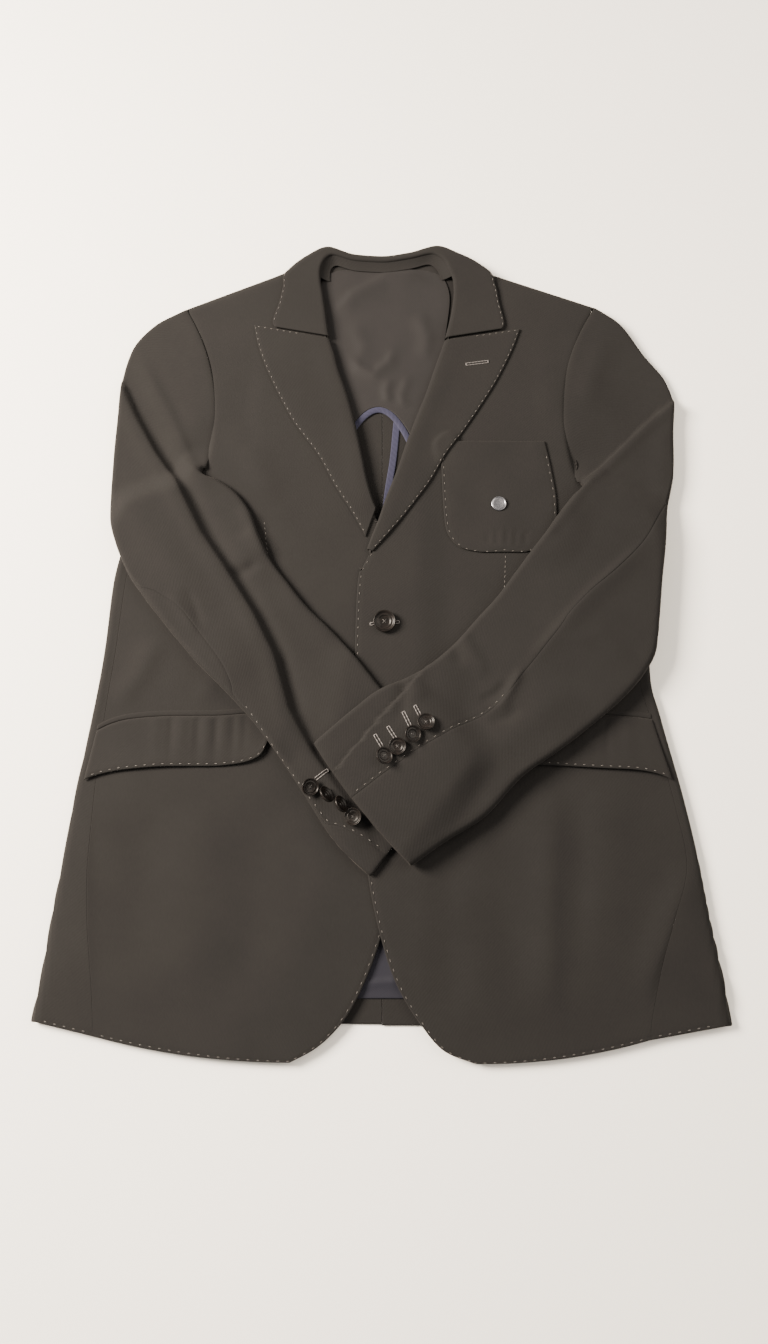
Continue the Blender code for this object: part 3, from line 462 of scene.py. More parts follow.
back = {
    # above the side panels: armhole x, y and centre seam or neck x, y
    "armholeRight": [
        (-170, 112, 0, 112), (-167, 128, 0, 128), (-162, 160, 0, 160), (-161, 195, 0, 195),
        (-162, 228, 0, 228), (-167, 255, 0, 258), (-171, 268, 0, 285), (-176, 280, 0, 303),
        (-180, 289, 0, 320), (-184, 297, 0, 338), (-187, 303, -9, 357), (-189, 306, -36, 359),
        (-190, 309, -62, 366)],
    "armholeLeft": [
        (184, 104, 0, 104), (184, 126, 0, 128), (178, 155, 0, 160), (175, 190, 0, 195), (177, 226, 0, 228),
        (181, 250, 0, 258), (186, 266, 0, 285), (190, 279, 0, 303), (196, 290, 0, 320), (200, 299, 0, 338),
        (202, 304, 9, 357), (204, 308, 36, 359), (205, 311, 64, 366)],
    "hem": -353.0, "cut": (225, 730, 0.93), "across": 7.0, "along": 7.0}
sleeve = {
    # from armhole to cuff: outer x, y, inner x, y, bow, place of the back seam across it, share of the fold
    "rowsRight": [
        (-191, 309, -164, 135, 16, -0.5, 0), (-221, 290, -165.8, 134.4, 8, -0.5, 0.3),
        (-242, 262, -167, 132.6, 3, -0.5, 0.8), (-249, 227, -166.4, 130.4, 0, -0.5, 1),
        (-250, 190, -163.5, 128.6, 0, -0.5, 1), (-251, 152, -157, 126.5, 0, -0.5, 1),
        (-251, 118, -147, 121, 0, -0.5, 1), (-249, 88, -134, 111, 0, -0.5, 1),
        (-241, 60, -121, 93, 0, -0.5, 1),
        (-228, 31, -112, 70, 0, -0.3, 1), (-212, 8, -100, 45, 0, 0.08, 1), (-192, -17, -84, 23, 0, 0.16, 1),
        (-165, -49, -66, 0, 0, 0.144, 1), (-138, -76, -44, -22, 0, 0.05, 1),
        (-112, -104, -20, -50, 0, -0.26, 1),
        (-90, -133, 2, -78, 0, -0.4, 1), (-66, -168, 28, -103, 0, -0.3, 0.8),
        (-44, -202, 50, -119, 0, 0.065, 0.5), (-28, -220, 60, -126, 0, 0.133, 0.3),
        (-10, -236, 70, -133, 0, 0.16, 0.1)],
    "rowsLeft": [
        (207, 311, 181, 120, -21, -0.5, 0), (231, 291, 182.8, 119.4, -10, -0.5, 0.3),
        (252, 258, 184, 117.6, -4, -0.5, 1), (271, 230, 183.4, 115.4, 0, -0.5, 1),
        (276.5, 207, 180.6, 112.6, 0, -0.5, 1), (273, 170, 174.5, 107, 0, -0.5, 1),
        (271, 135, 167, 98, 0, -0.3, 1), (262, 95, 159, 87, 0, 0.02, 1), (257, 60, 149, 72, 0, 0.17, 1),
        (251, 25, 136, 55, 0, 0.34, 1), (246, -10, 119, 32, 0, 0.5, 1), (241, -40, 102, 9, 0, 0.57, 1),
        (229, -62, 84, -11, 0, 0.57, 1), (209, -84, 64, -34, 0, 0.56, 1), (182, -107, 44, -52, 0, 0.52, 1),
        (152, -130, 22, -65, 0, 0.48, 1), (120, -152, -4, -78, 0, 0.5, 1), (86, -187, -28, -97, 0, 0.56, 1),
        (54, -207, -44, -111, 0, 0.56, 1), (24, -228, -59, -124, 4, 0.56, 1)],
    # where each sleeve is folded on itself: the side below it is the higher one
    "foldLineRight": [
        (-250, 232), (-231, 191), (-210, 153), (-189, 123), (-162, 70), (-139, 36), (-112, -7), (-93, -45),
        (-79, -93), (-58, -132), (-30, -170), (0, -220)],
    "foldLineLeft": [
        (150, 76), (161, 89), (179, 114), (186, 124), (204, 140), (227, 163), (249, 185), (271, 204),
        (296, 226)],
    # rise and width of that step, height and width of the lip along it
    "foldRight": (4.8, 4.5, 1.2, 8.0), "foldLeft": (6.0, 2.2, 1.0, 5.0),
    # height along the sleeve, and how many rungs the head and the cuff take
    "height": 6.2, "headHeight": 9.1, "headRows": 3, "cuffDrop": 1.2, "cuffRows": 3,
    # the head laps over the front, and is tucked in at its inner edge: share, rungs, and place across it
    "headOver": 1.4, "headDip": 1.1, "headTuck": 0.62, "tuckRows": 5, "tuckFrom": (0.68, 0.3),
    "squareFrom": (2, 5),  # rungs over which the inner edge comes to lie square to the sleeve
    "wall": 1.7, "underSeam": 0.2, "seamLap": (0.016, 0.012), "restless": 0.5, "restLength": 80,
    "spread": 22.0, "blur": 12.0, "headRoom": 8, "across": 3.0, "along": 3.0,
    "stitchesRight": [("left", 3.0, 8.0, 0.72, 0.99)], "stitchesLeft": [("left", 3.0, 8.0, 0.74, 0.99)],
    "creasesRight": [
        ([(-241, 268), (-226, 241), (-214, 217), (-202, 195), (-186, 160), (-172, 131), (-150, 106)],
         2.0, 6, 11),
        ([(-243, 228), (-224, 191), (-203, 153), (-182, 121), (-156, 70), (-134, 36), (-108, -7), (-89, -45),
          (-75, -93), (-54, -132), (-30, -165)], -2.6, 8, 3.5),
        ([(-110, 44), (-124, 34), (-140, 34)], -2.2, 5, 5),
        ([(-98, 50), (-112, 58), (-128, 74)], 1.8, 6, 8),
        ([(-132, 100), (-118, 78), (-104, 52)], 1.4, 6, 6),
        ([(-100, 30), (-80, 8), (-50, -28), (-30, -55)], 1.6, 7, 10),
        ([(-243, 110), (-205, 60), (-150, -10)], 1.2, 16, 14),
        ([(-176, 18), (-168, 4), (-158, -20)], -1.2, 3, 3),
        ([(-190, 16), (-178, -2), (-160, -30)], 1.2, 4, 6),
        ([(-60, -40), (-50, -90), (-30, -120)], 0.8, 10, 12)],
    "creasesLeft": [
        ([(215, 290), (206, 250), (186, 195)], 1.0, 12, 9),
        ([(268, 196), (258, 130), (262, 70)], 1.2, 14, 10),
        ([(118, -66), (130, -50), (147, -31), (166, -9), (186, 13), (212, 37), (248, 70)], 2.2, 5, 11),
        ([(92, -98), (104, -90), (114, -72), (124, -54)], 2.4, 4, 4),
        ([(82, -88), (98, -82), (110, -68)], -1.6, 4, 5),
        ([(90, -104), (106, -104), (120, -92)], -1.6, 4, 4),
        ([(8, -56), (20, -76), (18, -96), (10, -112)], -1.8, 4, 9),
        ([(34, -52), (30, -70), (34, -92)], 1.2, 7, 7),
        ([(66, -16), (74, -34), (86, -56), (88, -70)], 1.5, 5, 8),
        ([(56, -20), (64, -38), (70, -60)], -1.2, 5, 5),
        ([(160, 64), (190, 110), (232, 150)], 1.0, 14, 14),
        ([(62, -160), (110, -118), (170, -70)], 1.2, 14, 12),
        ([(222, -54), (190, -30), (150, -30)], 1.0, 9, 9)],
    # cut of the top sleeve and of the under sleeve
    "cutRight": ((150, 600, 0.69), (150, 600, 0.67)), "cutLeft": ((140, 560, 0.67), (200, 600, 0.72))}
lapel = {
    # from the break to the gorge: roll x, y and edge x, y
    "rowsRight": [
        (-5.5, 98, -15, 69), (-9, 108, -29, 95), (-14, 127, -43, 118), (-18, 148, -60, 151),
        (-23, 172, -72, 168), (-28, 195, -83, 184), (-34, 217, -99, 215), (-42, 242, -111, 242),
        (-46, 258, -119, 265), (-51, 274, -124, 288)],
    "rowsLeft": [
        (-14, 56, -8.5, 54), (-10.5, 67, 0, 64), (-4, 84, 14, 81), (3, 106, 31, 104), (9, 122, 44, 123),
        (15, 139, 58, 149), (22, 162, 74, 172), (32, 190, 92, 200), (42, 217, 108, 227), (50, 242, 120, 251),
        (55, 257, 127, 267), (60, 272, 133, 284)],
    "belowRight": (2, 80), "belowLeft": (-24, 36), "pastGorge": 8,  # where the roll's line starts and ends
    "wall": 1.8, "spread": 14.0, "blur": 8.0, "bloom": 1.2, "bloomAt": 6, "bloomWidth": 12,
    "across": 2.2, "along": 2.4, "cut": (82, 262, 0.62),
    "stitches": [("right", 1.7, 6.2, 0.02, 0.995), ("end", 1.7, 6.2, 0.45, 0.97)]}
collar = {
    # from the left gorge round the neck to the right one: roll x, y, top z, direction of the leaf in degrees,
    # flat run, bend in degrees, bend radius, run after it, turn of the roll in degrees
    "sections": [
        (60.3, 273.8, 11.8, 9.8, 53.5, 0, 9, 0, 180), (61.5, 279, 11.8, 9.3, 54.5, 0, 9, 0, 180),
        (67, 303, 12.1, 9, 45, 0, 9, 0, 180), (69.5, 325, 12.5, 7, 38, 0, 9, 1, 180),
        (69, 337, 13.0, 8, 34, 14, 9, 1, 180), (65.5, 347, 13.4, 14, 24, 60, 9, 1, 170),
        (61, 358, 13.6, 42, 9, 115, 6.8, 1, 150), (48, 366.5, 13.4, 66, 4, 178, 6.1, 3, 120),
        (26, 362.0, 11.9, 86, 1, 180, 5.8, 22, 100), (0, 358.5, 11.3, 90, 1, 180, 5.6, 24, 100),
        (-26, 360.0, 11.7, 94, 1, 180, 5.8, 22, 100), (-48, 365.5, 13.2, 112, 4, 178, 6.1, 3, 120),
        (-58, 357, 13.6, 138, 9, 115, 6.8, 1, 150), (-60.5, 345, 13.4, 168, 22, 60, 9, 1, 170),
        (-60, 336, 13.0, 172, 32, 14, 9, 1, 180), (-58, 324, 12.5, 173, 36, 0, 9, 1, 180),
        (-55, 303, 12.1, 171, 44, 0, 9, 0, 180), (-52, 281, 11.8, 169.5, 52.5, 0, 9, 0, 180),
        (-51, 275.6, 11.8, 169.5, 51, 0, 9, 0, 180)],
    "wall": 1.7, "across": 2.0, "along": 2.4, "cut": (64, 330, 0.64),
    # the stand: from and to which share of the collar and how deep, then how far it lies from the roll, below
    # its top and above the lining, and the power that it rises with
    "stand": (0.25, 0.75, 10.0), "standOut": 0.9, "standBelow": 1.7, "standFoot": 1.2, "standRise": 1.6,
    "stitches": [("right", 1.7, 6.2, 0.01, 0.3), ("right", 1.7, 6.2, 0.7, 0.99)]}


def bodyTop(y):
    return np.interp(y, [row[0] for row in body["heights"]], [row[1] for row in body["heights"]])


def backLift(x, y):
    return body["neckLift"] * ramp(y, *body["neckFrom"]) * ramp(np.abs(x), *body["neckOut"])


def lapLift(x, y):
    return (body["lapRise"] * ramp(x, *body["lapAcross"]) * ramp(y, *body["lapTop"])
            * ramp(y, *body["lapFoot"]))


def restlessAt(x, y):
    return body["restless"] * waves(x, y, body["restLength"], 3) * ramp(y, *body["hemCalm"])


def frontTop(x, y, hand):
    # height of a front's outer face, round along its shoulder
    top = bodyTop(y) + (lapLift(x, y) if hand > 0 else 0.0)
    top = top + restlessAt(x, y)
    top = top + foldsAt(front["folds" + sideName[hand]], x, y)
    low = body["wallBack"] + seamGap + body["shoulderDrop"] + backLift(x, y)
    ax, ay, bx, by = front["rows" + sideName[hand]][-1][:4]
    below = ((y - ay) * (bx - ax) - (x - ax) * (by - ay)) / math.hypot(bx - ax, by - ay) * hand
    reach = (body["shoulderRound"] - np.clip(below, 0, body["shoulderRound"])) / body["shoulderRound"]
    return low + (top - low) * np.sqrt(np.maximum(1 - reach * reach, 0))


def armholeAt(hand, y):
    # x of the sleeve head's seam at y, and where it is
    head = sleeve["rows" + sideName[hand]][0]
    us = np.linspace(0, 1, 60)
    hx, hy = planAt([head[:5], head[:5]], us, np.zeros(len(us)))
    return np.interp(y, hy[::-1], hx[::-1]), (y >= head[3]) & (y <= head[1])


def trimToArmhole(hand, x, y):
    edge, held = armholeAt(hand, y)
    edge = edge - hand * (seamGap + body["underarmGap"] * ramp(y, *body["underarm"]))
    return np.where(held, np.minimum(x, edge) if hand > 0 else np.maximum(x, edge), x)


def underHead(hand, x, y):
    # the front runs on under the sleeve head, and sinks into the seam there
    s = headSeam
    edge = armholeAt(hand, y)[0]
    highest, lowest = [sleeve["rows" + sideName[hand]][0][k] for k in (1, 3)]
    lowest = lowest - s["below"]
    held = (y >= lowest) & (y <= highest)
    reach = s["reach"] * ramp(y, lowest, s["footFade"]) * ramp(y, highest, -s["topFade"])
    near = np.exp(-np.clip(hand * (edge - x), 0, None) / s["pull"])
    x = x + np.where(held, hand * (reach + ramp(y, highest, -s["pullFade"])) * near, 0.0)
    past = hand * (x - edge)
    x = np.where(held, edge + hand * np.minimum(past, reach), x)
    past = np.minimum(past, reach)
    lip = s["lip"] * np.exp(-(past / s["lipWidth"]) ** 2)
    sunk = np.where(past < 0, lip, np.minimum(s["lip"] + s["slope"] * past, s["deepest"]))
    return x, np.where(held, -sunk * ramp(y, lowest, s["sinkFade"]), 0.0)


def rollLine(hand):
    # from below the break up the lapel and on along the collar
    sections = collar["sections"][1:6] if hand > 0 else collar["sections"][-2:-7:-1]
    return [lapel["below" + sideName[hand]]] + [row[:2] for row in lapel["rows" + sideName[hand]] + sections]


def trimToRoll(hand, x, y):
    line = rollLine(hand)
    held = (y >= line[0][1]) & (y <= line[-1][1] + lapel["pastGorge"])
    for _ in range(4):  # each pass comes closer to the inset
        near = -hand * fromLine(line, x, y)[0]
        x = np.where(held, x + hand * np.maximum(body["rollInset"] - near, 0), x)
    return x


def makeFront(hand):
    label = sideName[hand]

    def surface(u, v):
        x, y = planAt(front["rows" + label], u, v)
        x, sunk = underHead(hand, trimToRoll(hand, x, y), y)
        return x, y, frontTop(x, y, hand) + sunk
    piece = makeCloth("front" + label + "Cloth", surface, front["across"], front["along"], body["wallFront"],
                      ("right", "start"), front["stitches" + label])
    dressCloth(piece, ["front_" + label.lower()], clothMaterial)


def sideRows(hand):
    # seam x, y and fold x, y of a side panel, from hem to armhole
    folds = side["fold" + sideName[hand]]
    seams = [row[:2] for row in front["rows" + sideName[hand]][:len(folds)]]
    return [seam + fold for seam, fold in zip(seams, folds)] + [side["top" + sideName[hand]]]


def makeBack(hand):
    label = sideName[hand]
    rows = [(row[2] - hand * body["sideTurn"], row[3], 0, row[3]) for row in sideRows(hand)]
    rows[0] = rows[0][:3] + (min(rows[0][1], back["hem"]),)
    rows += back["armhole" + label]

    def surface(u, v):
        x, y = planAt(rows, u, v)
        x = trimToArmhole(hand, x, y)
        return x + hand * seamGap / 2, y, backLift(x, y) + body["wallBack"]
    piece = makeCloth("back" + label + "Cloth", surface, back["across"], back["along"], body["wallBack"],
                      ("start",), drop=0.7)
    dressCloth(piece, ["back_" + label.lower()], clothMaterial)


def makeSide(hand):
    label = sideName[hand]
    rows = sideRows(hand)

    def surface(u, v):
        seamX, seamY, foldX, foldY = rowsAt(rows, v)
        seamX = seamX + hand * side["seamStep"]
        top = bodyTop(seamY) + restlessAt(seamX, seamY) + foldsAt(front["folds" + label], seamX, seamY)
        r = bodyTop(seamY) / 2
        flat = np.abs(foldX - seamX) - r
        turn = math.pi * r
        under = body["sideTurn"] - r - 2 * seamGap
        along = u * (flat + turn + under)
        share = np.clip(along / flat, 0, 1)
        angle = np.clip((along - flat) / r, 0, math.pi)
        beyond = np.maximum(along - flat - turn, 0)
        edgeX = foldX - hand * r
        x = seamX + (edgeX - seamX) * share + hand * (r * np.sin(angle) - beyond)
        y = seamY + (foldY - seamY) * share
        z = np.where(along <= flat, top + (2 * r - top) * share ** 2, r + r * np.cos(angle))
        return x, y, z
    piece = makeCloth("side" + label + "Cloth", surface, side["across"], side["along"], body["wallSide"],
                      ("start",), side["stitches"])
    dressCloth(piece, ["side_" + label.lower()], clothMaterial)


for hand in (-1, 1):
    makeBack(hand)
for hand in (-1, 1):
    makeFront(hand)
    makeSide(hand)
print("body made")


# pockets
pocket = {
    # breast pocket from its bottom to its mouth: left x, y, right x, y
    "rows": [
        (90, 54, 130, 54, 0), (75, 57, 144, 58, 0), (64, 65, 154, 66, 0), (58, 78, 160, 80, 0),
        (56, 104, 160.5, 104, 0), (55, 136, 157, 136, 0), (54, 165, 152, 165, 0)],
    "wall": 1.4, "across": 2.2, "along": 2.2, "cut": (106, 112, 0.93),
    "folds": [
        ([(96, 60), (97, 76)], -0.5, 2, 2), ([(104, 59), (105, 78)], -0.6, 2.5, 2),
        ([(113, 59), (114, 80)], -0.6, 2, 2.5), ([(121, 59), (122, 78)], -0.6, 2, 2),
        ([(130, 60), (131, 76)], -0.5, 2.5, 2)],
    "restless": 0.5, "restLength": 50,
    "stitches": [("left", 2.8, 8.0, 0.0, 0.86), ("right", 2.8, 8.0, 0.0, 0.9), ("start", 2.8, 8.0, 0.0, 1.0)]}
flap = {
    # from the side to the front: seam x, y, lower edge x, y
    "rowsRight": [
        (-248, -111, -255, -154), (-236, -105, -240, -149), (-219, -100.5, -222, -145.5),
        (-182, -98, -182, -142.5), (-150, -98, -150, -142.5), (-120, -96, -122, -140),
        (-106, -95, -105, -133), (-99, -95, -99, -121)],
    "rowsLeft": [
        (235, -101, 248, -154), (225, -99.5, 236, -149), (208, -98, 216, -145.5), (186, -97, 186, -144),
        (152, -96, 152, -142), (124, -95.5, 124, -140.5), (108, -95, 107, -133), (101, -95, 101, -121)],
    # soft pleats hanging from the seam: x, height, width
    "pleats": [
        (-196, 0.5, 5), (-183, -0.8, 2.4), (-174, 0.5, 4), (-160, -0.9, 2.2), (-152, 0.6, 3),
        (-144, -1.0, 2.2), (-137, 0.5, 3), (-129, -0.8, 2.2), (-119, -0.5, 2.4), (140, -0.7, 2.4),
        (150, 0.5, 4), (163, -0.7, 2.6), (176, 0.5, 5), (194, -0.7, 3), (212, 0.5, 6)],
    "wall": 1.5, "across": 2.4, "along": 2.4, "cut": (154, 46, 0.96), "weltWidth": 5.0, "weltWall": 1.3,
    "weltAcross": 1.2, "weltSunk": -0.8,
    # shares down the flap where its pleats start and fade, and how much they lose; how it stands off below
    "pleatStart": 0.08, "pleatFade": (0.35, 0.6), "pleatLoss": 0.75, "flare": 2.2, "flareWave": (0.3, 60),
    "stitches": [("right", 2.6, 7.6, 0.0, 1.0), ("end", 2.6, 7.6, 0.2, 1.0)]}


def layOnFront(name, rows, hand, details, wall, across, edges, stitches, rise=0.0, shape=None, drop=0.8):
    def surface(u, v):
        x, y = planAt(rows, u, v)
        z = frontTop(x, y, hand) + seamGap + wall + rise
        return x, y, z + (shape(x, y, u, v) if shape else 0.0)
    return makeCloth(name, surface, across, details["along"], wall - 0.1, edges, stitches, drop, 1.5)


def pleatsAt(x, y, u, v):
    # fullest a little below the seam, and softer at the lower edge, which stands off
    waviness, waveLength = flap["flareWave"]
    total = np.zeros(np.shape(x))
    for place, height, width in flap["pleats"]:
        total = total + height * np.exp(-((x - place) / width) ** 2)
    hang = smooth(u / flap["pleatStart"]) * (1 - flap["pleatLoss"] * ramp(u, *flap["pleatFade"]))
    return total * hang + flap["flare"] * u * u * (1 + waviness * waves(x, y * 0, waveLength, 8))


def makePockets():
    def pocketShape(x, y, u, v):
        # restless but at its sewn edges
        restless = pocket["restless"] * waves(x, y, pocket["restLength"], 5)
        return foldsAt(pocket["folds"], x, y) + restless * smooth(u * (1 - u) * 8) * smooth(v * 4)
    piece = layOnFront("breastPocket", pocket["rows"], 1, pocket, pocket["wall"], pocket["across"],
                       ("left", "right", "start", "end"), pocket["stitches"], seamGap, pocketShape, 1.0)
    dressCloth(piece, ["patch_pocket"], clothMaterial)
    for hand, label in sideName.items():
        rows = flap["rows" + label]
        piece = layOnFront("flap" + label, rows, hand, flap, flap["wall"], flap["across"],
                           (("left", 1.2, 3.2), "right", "start", "end"), flap["stitches"], 0.0, pleatsAt)
        rows = [(x, y + seamGap, x, y + seamGap + flap["weltWidth"]) for x, y, lowX, lowY in rows]
        welt = layOnFront("welt" + label, rows, hand, flap, flap["weltWall"], flap["weltAcross"],
                          (("left", 1.1, 1.9), ("right", 1.1, 1.9), "start", "end"), (), flap["weltSunk"])
        dress(welt, ["welt_" + label.lower()], clothMaterial)
        dressCloth(piece, ["flap_" + label.lower()], clothMaterial)


lining = {
    # yoke lining from its arch to the stand, the tape and the skirt lining: left x, y, right x, y, bow
    "yoke": [
        (-37, 170, 29, 168, 35), (-50, 215, 50, 213, 14), (-56, 250, 56, 250, 8), (-60, 285, 62, 285, 4),
        (-62, 320, 66, 320, 2), (-58, 343, 60, 343, 3), (-44, 352, 44, 352, 2)],
    "tape": [(-4, 60, 2.5, 60, 0), (2, 116, 8.5, 116, 0), (7, 150, 13.5, 150, 0), (10.5, 188, 17, 188, 0)],
    "skirt": [(-90, -333, 90, -333, 0), (-70, -300, 70, -300, 0), (-45, -262, 40, -262, 0)],
    "bindingWidth": 6.0, "bindingRound": 0.9, "wall": 0.8, "lift": 0.1,
    "yokeCut": (128, 176, 0.86), "skirtCut": (180, 72, 0.74),
    "yokeFolds": [
        ([(-50, 300), (-29, 325), (3, 344), (30, 346), (52, 338)], 2.2, 5, 10),
        ([(-34, 262), (-21, 246), (-8, 240), (6, 252), (14, 272)], 1.8, 4, 7),
        ([(34, 310), (44, 280), (40, 250)], 1.6, 6, 9), ([(-30, 300), (-18, 270), (-22, 245)], 1.0, 9, 7),
        ([(8, 236), (4, 222), (6, 206)], 1.2, 4, 5), ([(26, 240), (18, 216), (22, 200)], 1.0, 5, 4)],
    "skirtFolds": [
        ([(-30, -318), (-16, -321), (8, -319), (30, -322)], 0.8, 2, 4),
        ([(8, -280), (10, -305), (12, -330)], 0.9, 2, 4)]}


# what lies under a piece
def topAt(x, y, names):
    start = Vector(((x + planShift[0]) * mm, (y + planShift[1]) * mm, 1.0))
    hits = [trees[name].ray_cast(start, Vector((0, 0, -1)))[0] for name in names]
    return max([hit.z / mm for hit in hits if hit is not None], default=0.0)


def restHeight(plan, below, spread, blur, cell=3.0, hand=0):
    # height that a piece lies on: the tops of the pieces below it, spread and softened
    shares = np.linspace(0, 1, 30)
    edge = ([plan(0.0, v) for v in shares] + [plan(u, 1.0) for u in shares]
            + [plan(1.0, v) for v in shares[::-1]] + [plan(u, 0.0) for u in shares[::-1]])
    edge = [(float(x), float(y)) for x, y in edge]
    margin = spread + blur + 2 * cell
    xs = np.arange(min(p[0] for p in edge) - margin, max(p[0] for p in edge) + margin, cell)
    ys = np.arange(min(p[1] for p in edge) - margin, max(p[1] for p in edge) + margin, cell)
    gx, gy = np.meshgrid(xs, ys)
    covered = np.zeros(gx.shape, bool)
    for (ax, ay), (bx, by) in zip(edge, edge[1:] + edge[:1]):
        if ay != by:
            covered ^= ((ay > gy) != (by > gy)) & (gx < (bx - ax) * (gy - ay) / (by - ay) + ax)
    heights = np.zeros(gx.shape)
    if hand:
        edge, held = armholeAt(hand, gy)
        covered &= ~(held & (hand * (gx - edge) < sleeve["headRoom"]))
    for j, i in zip(*np.nonzero(covered)):
        heights[j, i] = topAt(xs[i], ys[j], below)

    def overDisc(field, radius, join):
        reach = int(radius / cell)
        moved = [np.roll(field, (dj, di), (0, 1)) for dj in range(-reach, reach + 1)
                 for di in range(-reach, reach + 1) if dj * dj + di * di <= reach * reach + 0.5]
        return join(np.array(moved), axis=0)
    field = overDisc(overDisc(heights, spread, np.max), blur, np.mean)

    def at(x, y):
        fi = np.clip((x - xs[0]) / cell, 0, len(xs) - 1.001)
        fj = np.clip((y - ys[0]) / cell, 0, len(ys) - 1.001)
        i, j = fi.astype(int), fj.astype(int)
        a, b = fi - i, fj - j
        return ((field[j, i] * (1 - a) + field[j, i + 1] * a) * (1 - b)
                + (field[j + 1, i] * (1 - a) + field[j + 1, i + 1] * a) * b)
    return at


# lapels and collar
def makeLapel(hand):
    label = sideName[hand]
    rows = lapel["rows" + label]
    rest = restHeight(lambda u, v: planAt(rows, u, v), ["breastPocket"], lapel["spread"], lapel["blur"])

    def surface(u, v):
        rollX, rollY = planAt(rows, np.zeros(np.shape(v)), v)
        edgeX, edgeY = planAt(rows, np.ones(np.shape(v)), v)
        width = np.hypot(edgeX - rollX, edgeY - rollY)
        turn = math.pi * rollRadius
        along = u * (turn + width - rollRadius)
        angle = np.clip(1 - along / turn, 0, 1) * math.pi
        out = np.where(along < turn, rollRadius * (1 - np.sin(angle)), rollRadius + along - turn)
        share = out / width
        x, y = planAt(rows, share, v)
        ground = np.maximum(frontTop(x, y, hand), rest(x, y)) + seamGap + lapel["wall"]
        inset = planAt(rows, body["rollInset"] / width, v)
        rolled = frontTop(*inset, hand) + seamGap + lapel["wall"] - rollRadius + rollRadius * np.cos(angle)
        bloom = lapel["bloom"] * np.exp(-((out - lapel["bloomAt"]) / lapel["bloomWidth"]) ** 2)
        bloom = bloom * smooth(v * 6) * smooth((1 - v) * 3)
        z = np.where(along < turn, rolled + bloom * (1 - angle / math.pi), ground + bloom)
        return x, y, z
    piece = makeCloth("lapel" + label + "Cloth", surface, lapel["across"], lapel["along"], lapel["wall"],
                      ("right", "end", "start"), lapel["stitches"], drop=0.7, reach=1.5)
    dressCloth(piece, ["lapel_" + label.lower()], clothMaterial)


def makeCollar():
    def surface(u, v):
        rollX, rollY, top, heading, run, bend, radius, after, turn = rowsAt(collar["sections"], v)
        dx, dy = np.cos(np.radians(heading)), np.sin(np.radians(heading))
        roll, bend = np.radians(turn), np.radians(bend)
        arc = radius * bend
        along = u * (rollRadius * roll + run + arc + after) - rollRadius * roll
        angle = np.clip(-along / rollRadius, 0, None)
        out = rollRadius + np.clip(along, 0, run)
        bent = np.clip(along - run, 0, arc) / radius
        extra = np.maximum(along - run - arc, 0)
        out = out + radius * np.sin(bent) + extra * np.cos(bent)
        z = top - radius * (1 - np.cos(bent)) - extra * np.sin(bent)
        out = np.where(along < 0, rollRadius * (1 - np.sin(angle)), out)
        z = np.where(along < 0, top - rollRadius * (1 - np.cos(angle)), z)
        return rollX + dx * out, rollY + dy * out, z
    piece = makeCloth("collarCloth", surface, collar["across"], collar["along"], collar["wall"],
                      ("right", "start", "end"), collar["stitches"], drop=0.7, reach=1.5)

    def standSurface(u, v):
        # the inner face of the collar's back, from the lining up to under its roll
        first, last, deep = collar["stand"]
        rollX, rollY, top, heading = rowsAt(collar["sections"], first + (last - first) * v)[:4]
        dx, dy = np.cos(np.radians(heading)), np.sin(np.radians(heading))
        out = collar["standOut"] - deep * (1 - u)
        x, y = rollX + dx * out, rollY + dy * out
        foot = backLift(x, y) + body["wallBack"] + seamGap + lining["wall"] + collar["standFoot"]
        return x, y, foot + (top - collar["standBelow"] - foot) * u ** collar["standRise"]
    stand = makeCloth("collarStand", standSurface, 1.2, 3.0, lining["wall"], drop=0.3, reach=0.8)
    dress(stand, ["collar_stand"], clothMaterial)
    dressCloth(piece, ["collar"], clothMaterial)


# linings inside the neck and at the hem
def makeLinings():
    def overBack(x, y):
        return backLift(x, y) + body["wallBack"] + seamGap + lining["wall"] + lining["lift"]

    def onBack(name, rows, across, along, folds=(), edges=("start", "end")):
        def surface(u, v):
            x, y = planAt(rows, u, v)
            return x, y, overBack(x, y) + foldsAt(folds, x, y)
        return makeCloth(name, surface, across, along, lining["wall"], edges, drop=0.4, reach=1.0)

    def bindingSurface(u, v):
        # a folded strip along the arch, rounded like a cord
        arch = [lining["yoke"][0]] * 2
        x, y = planAt(arch, v, np.zeros(np.shape(v)))
        ax, ay = planAt(arch, np.minimum(v + 0.01, 1), np.zeros(np.shape(v)))
        bx, by = planAt(arch, np.maximum(v - 0.01, 0), np.zeros(np.shape(v)))
        length = np.hypot(ax - bx, ay - by)
        out = lining["bindingWidth"] * (u - 1) - seamGap
        x, y = x - (ay - by) / length * out, y + (ax - bx) / length * out
        return x, y, overBack(x, y) + lining["bindingRound"] * np.sqrt(np.maximum(4 * u * (1 - u), 0))
    binding = makeCloth("yokeBinding", bindingSurface, 0.8, 1.6, lining["wall"], drop=0.4, reach=1.0)
    dress(binding, ["yoke_binding"], tapeMaterial)
    tape = onBack("seamTape", lining["tape"], 0.8, 3.0, edges=("left", "right"))
    dress(tape, ["seam_tape"], tapeMaterial)
    yoke = onBack("yokeLining", lining["yoke"], 2.4, 2.4, lining["yokeFolds"])
    dressCloth(yoke, ["yoke_lining"], liningMaterial)
    skirt = onBack("skirtLining", lining["skirt"], 3.0, 2.0, lining["skirtFolds"])
    dressCloth(skirt, ["skirt_lining"], skirtMaterial)


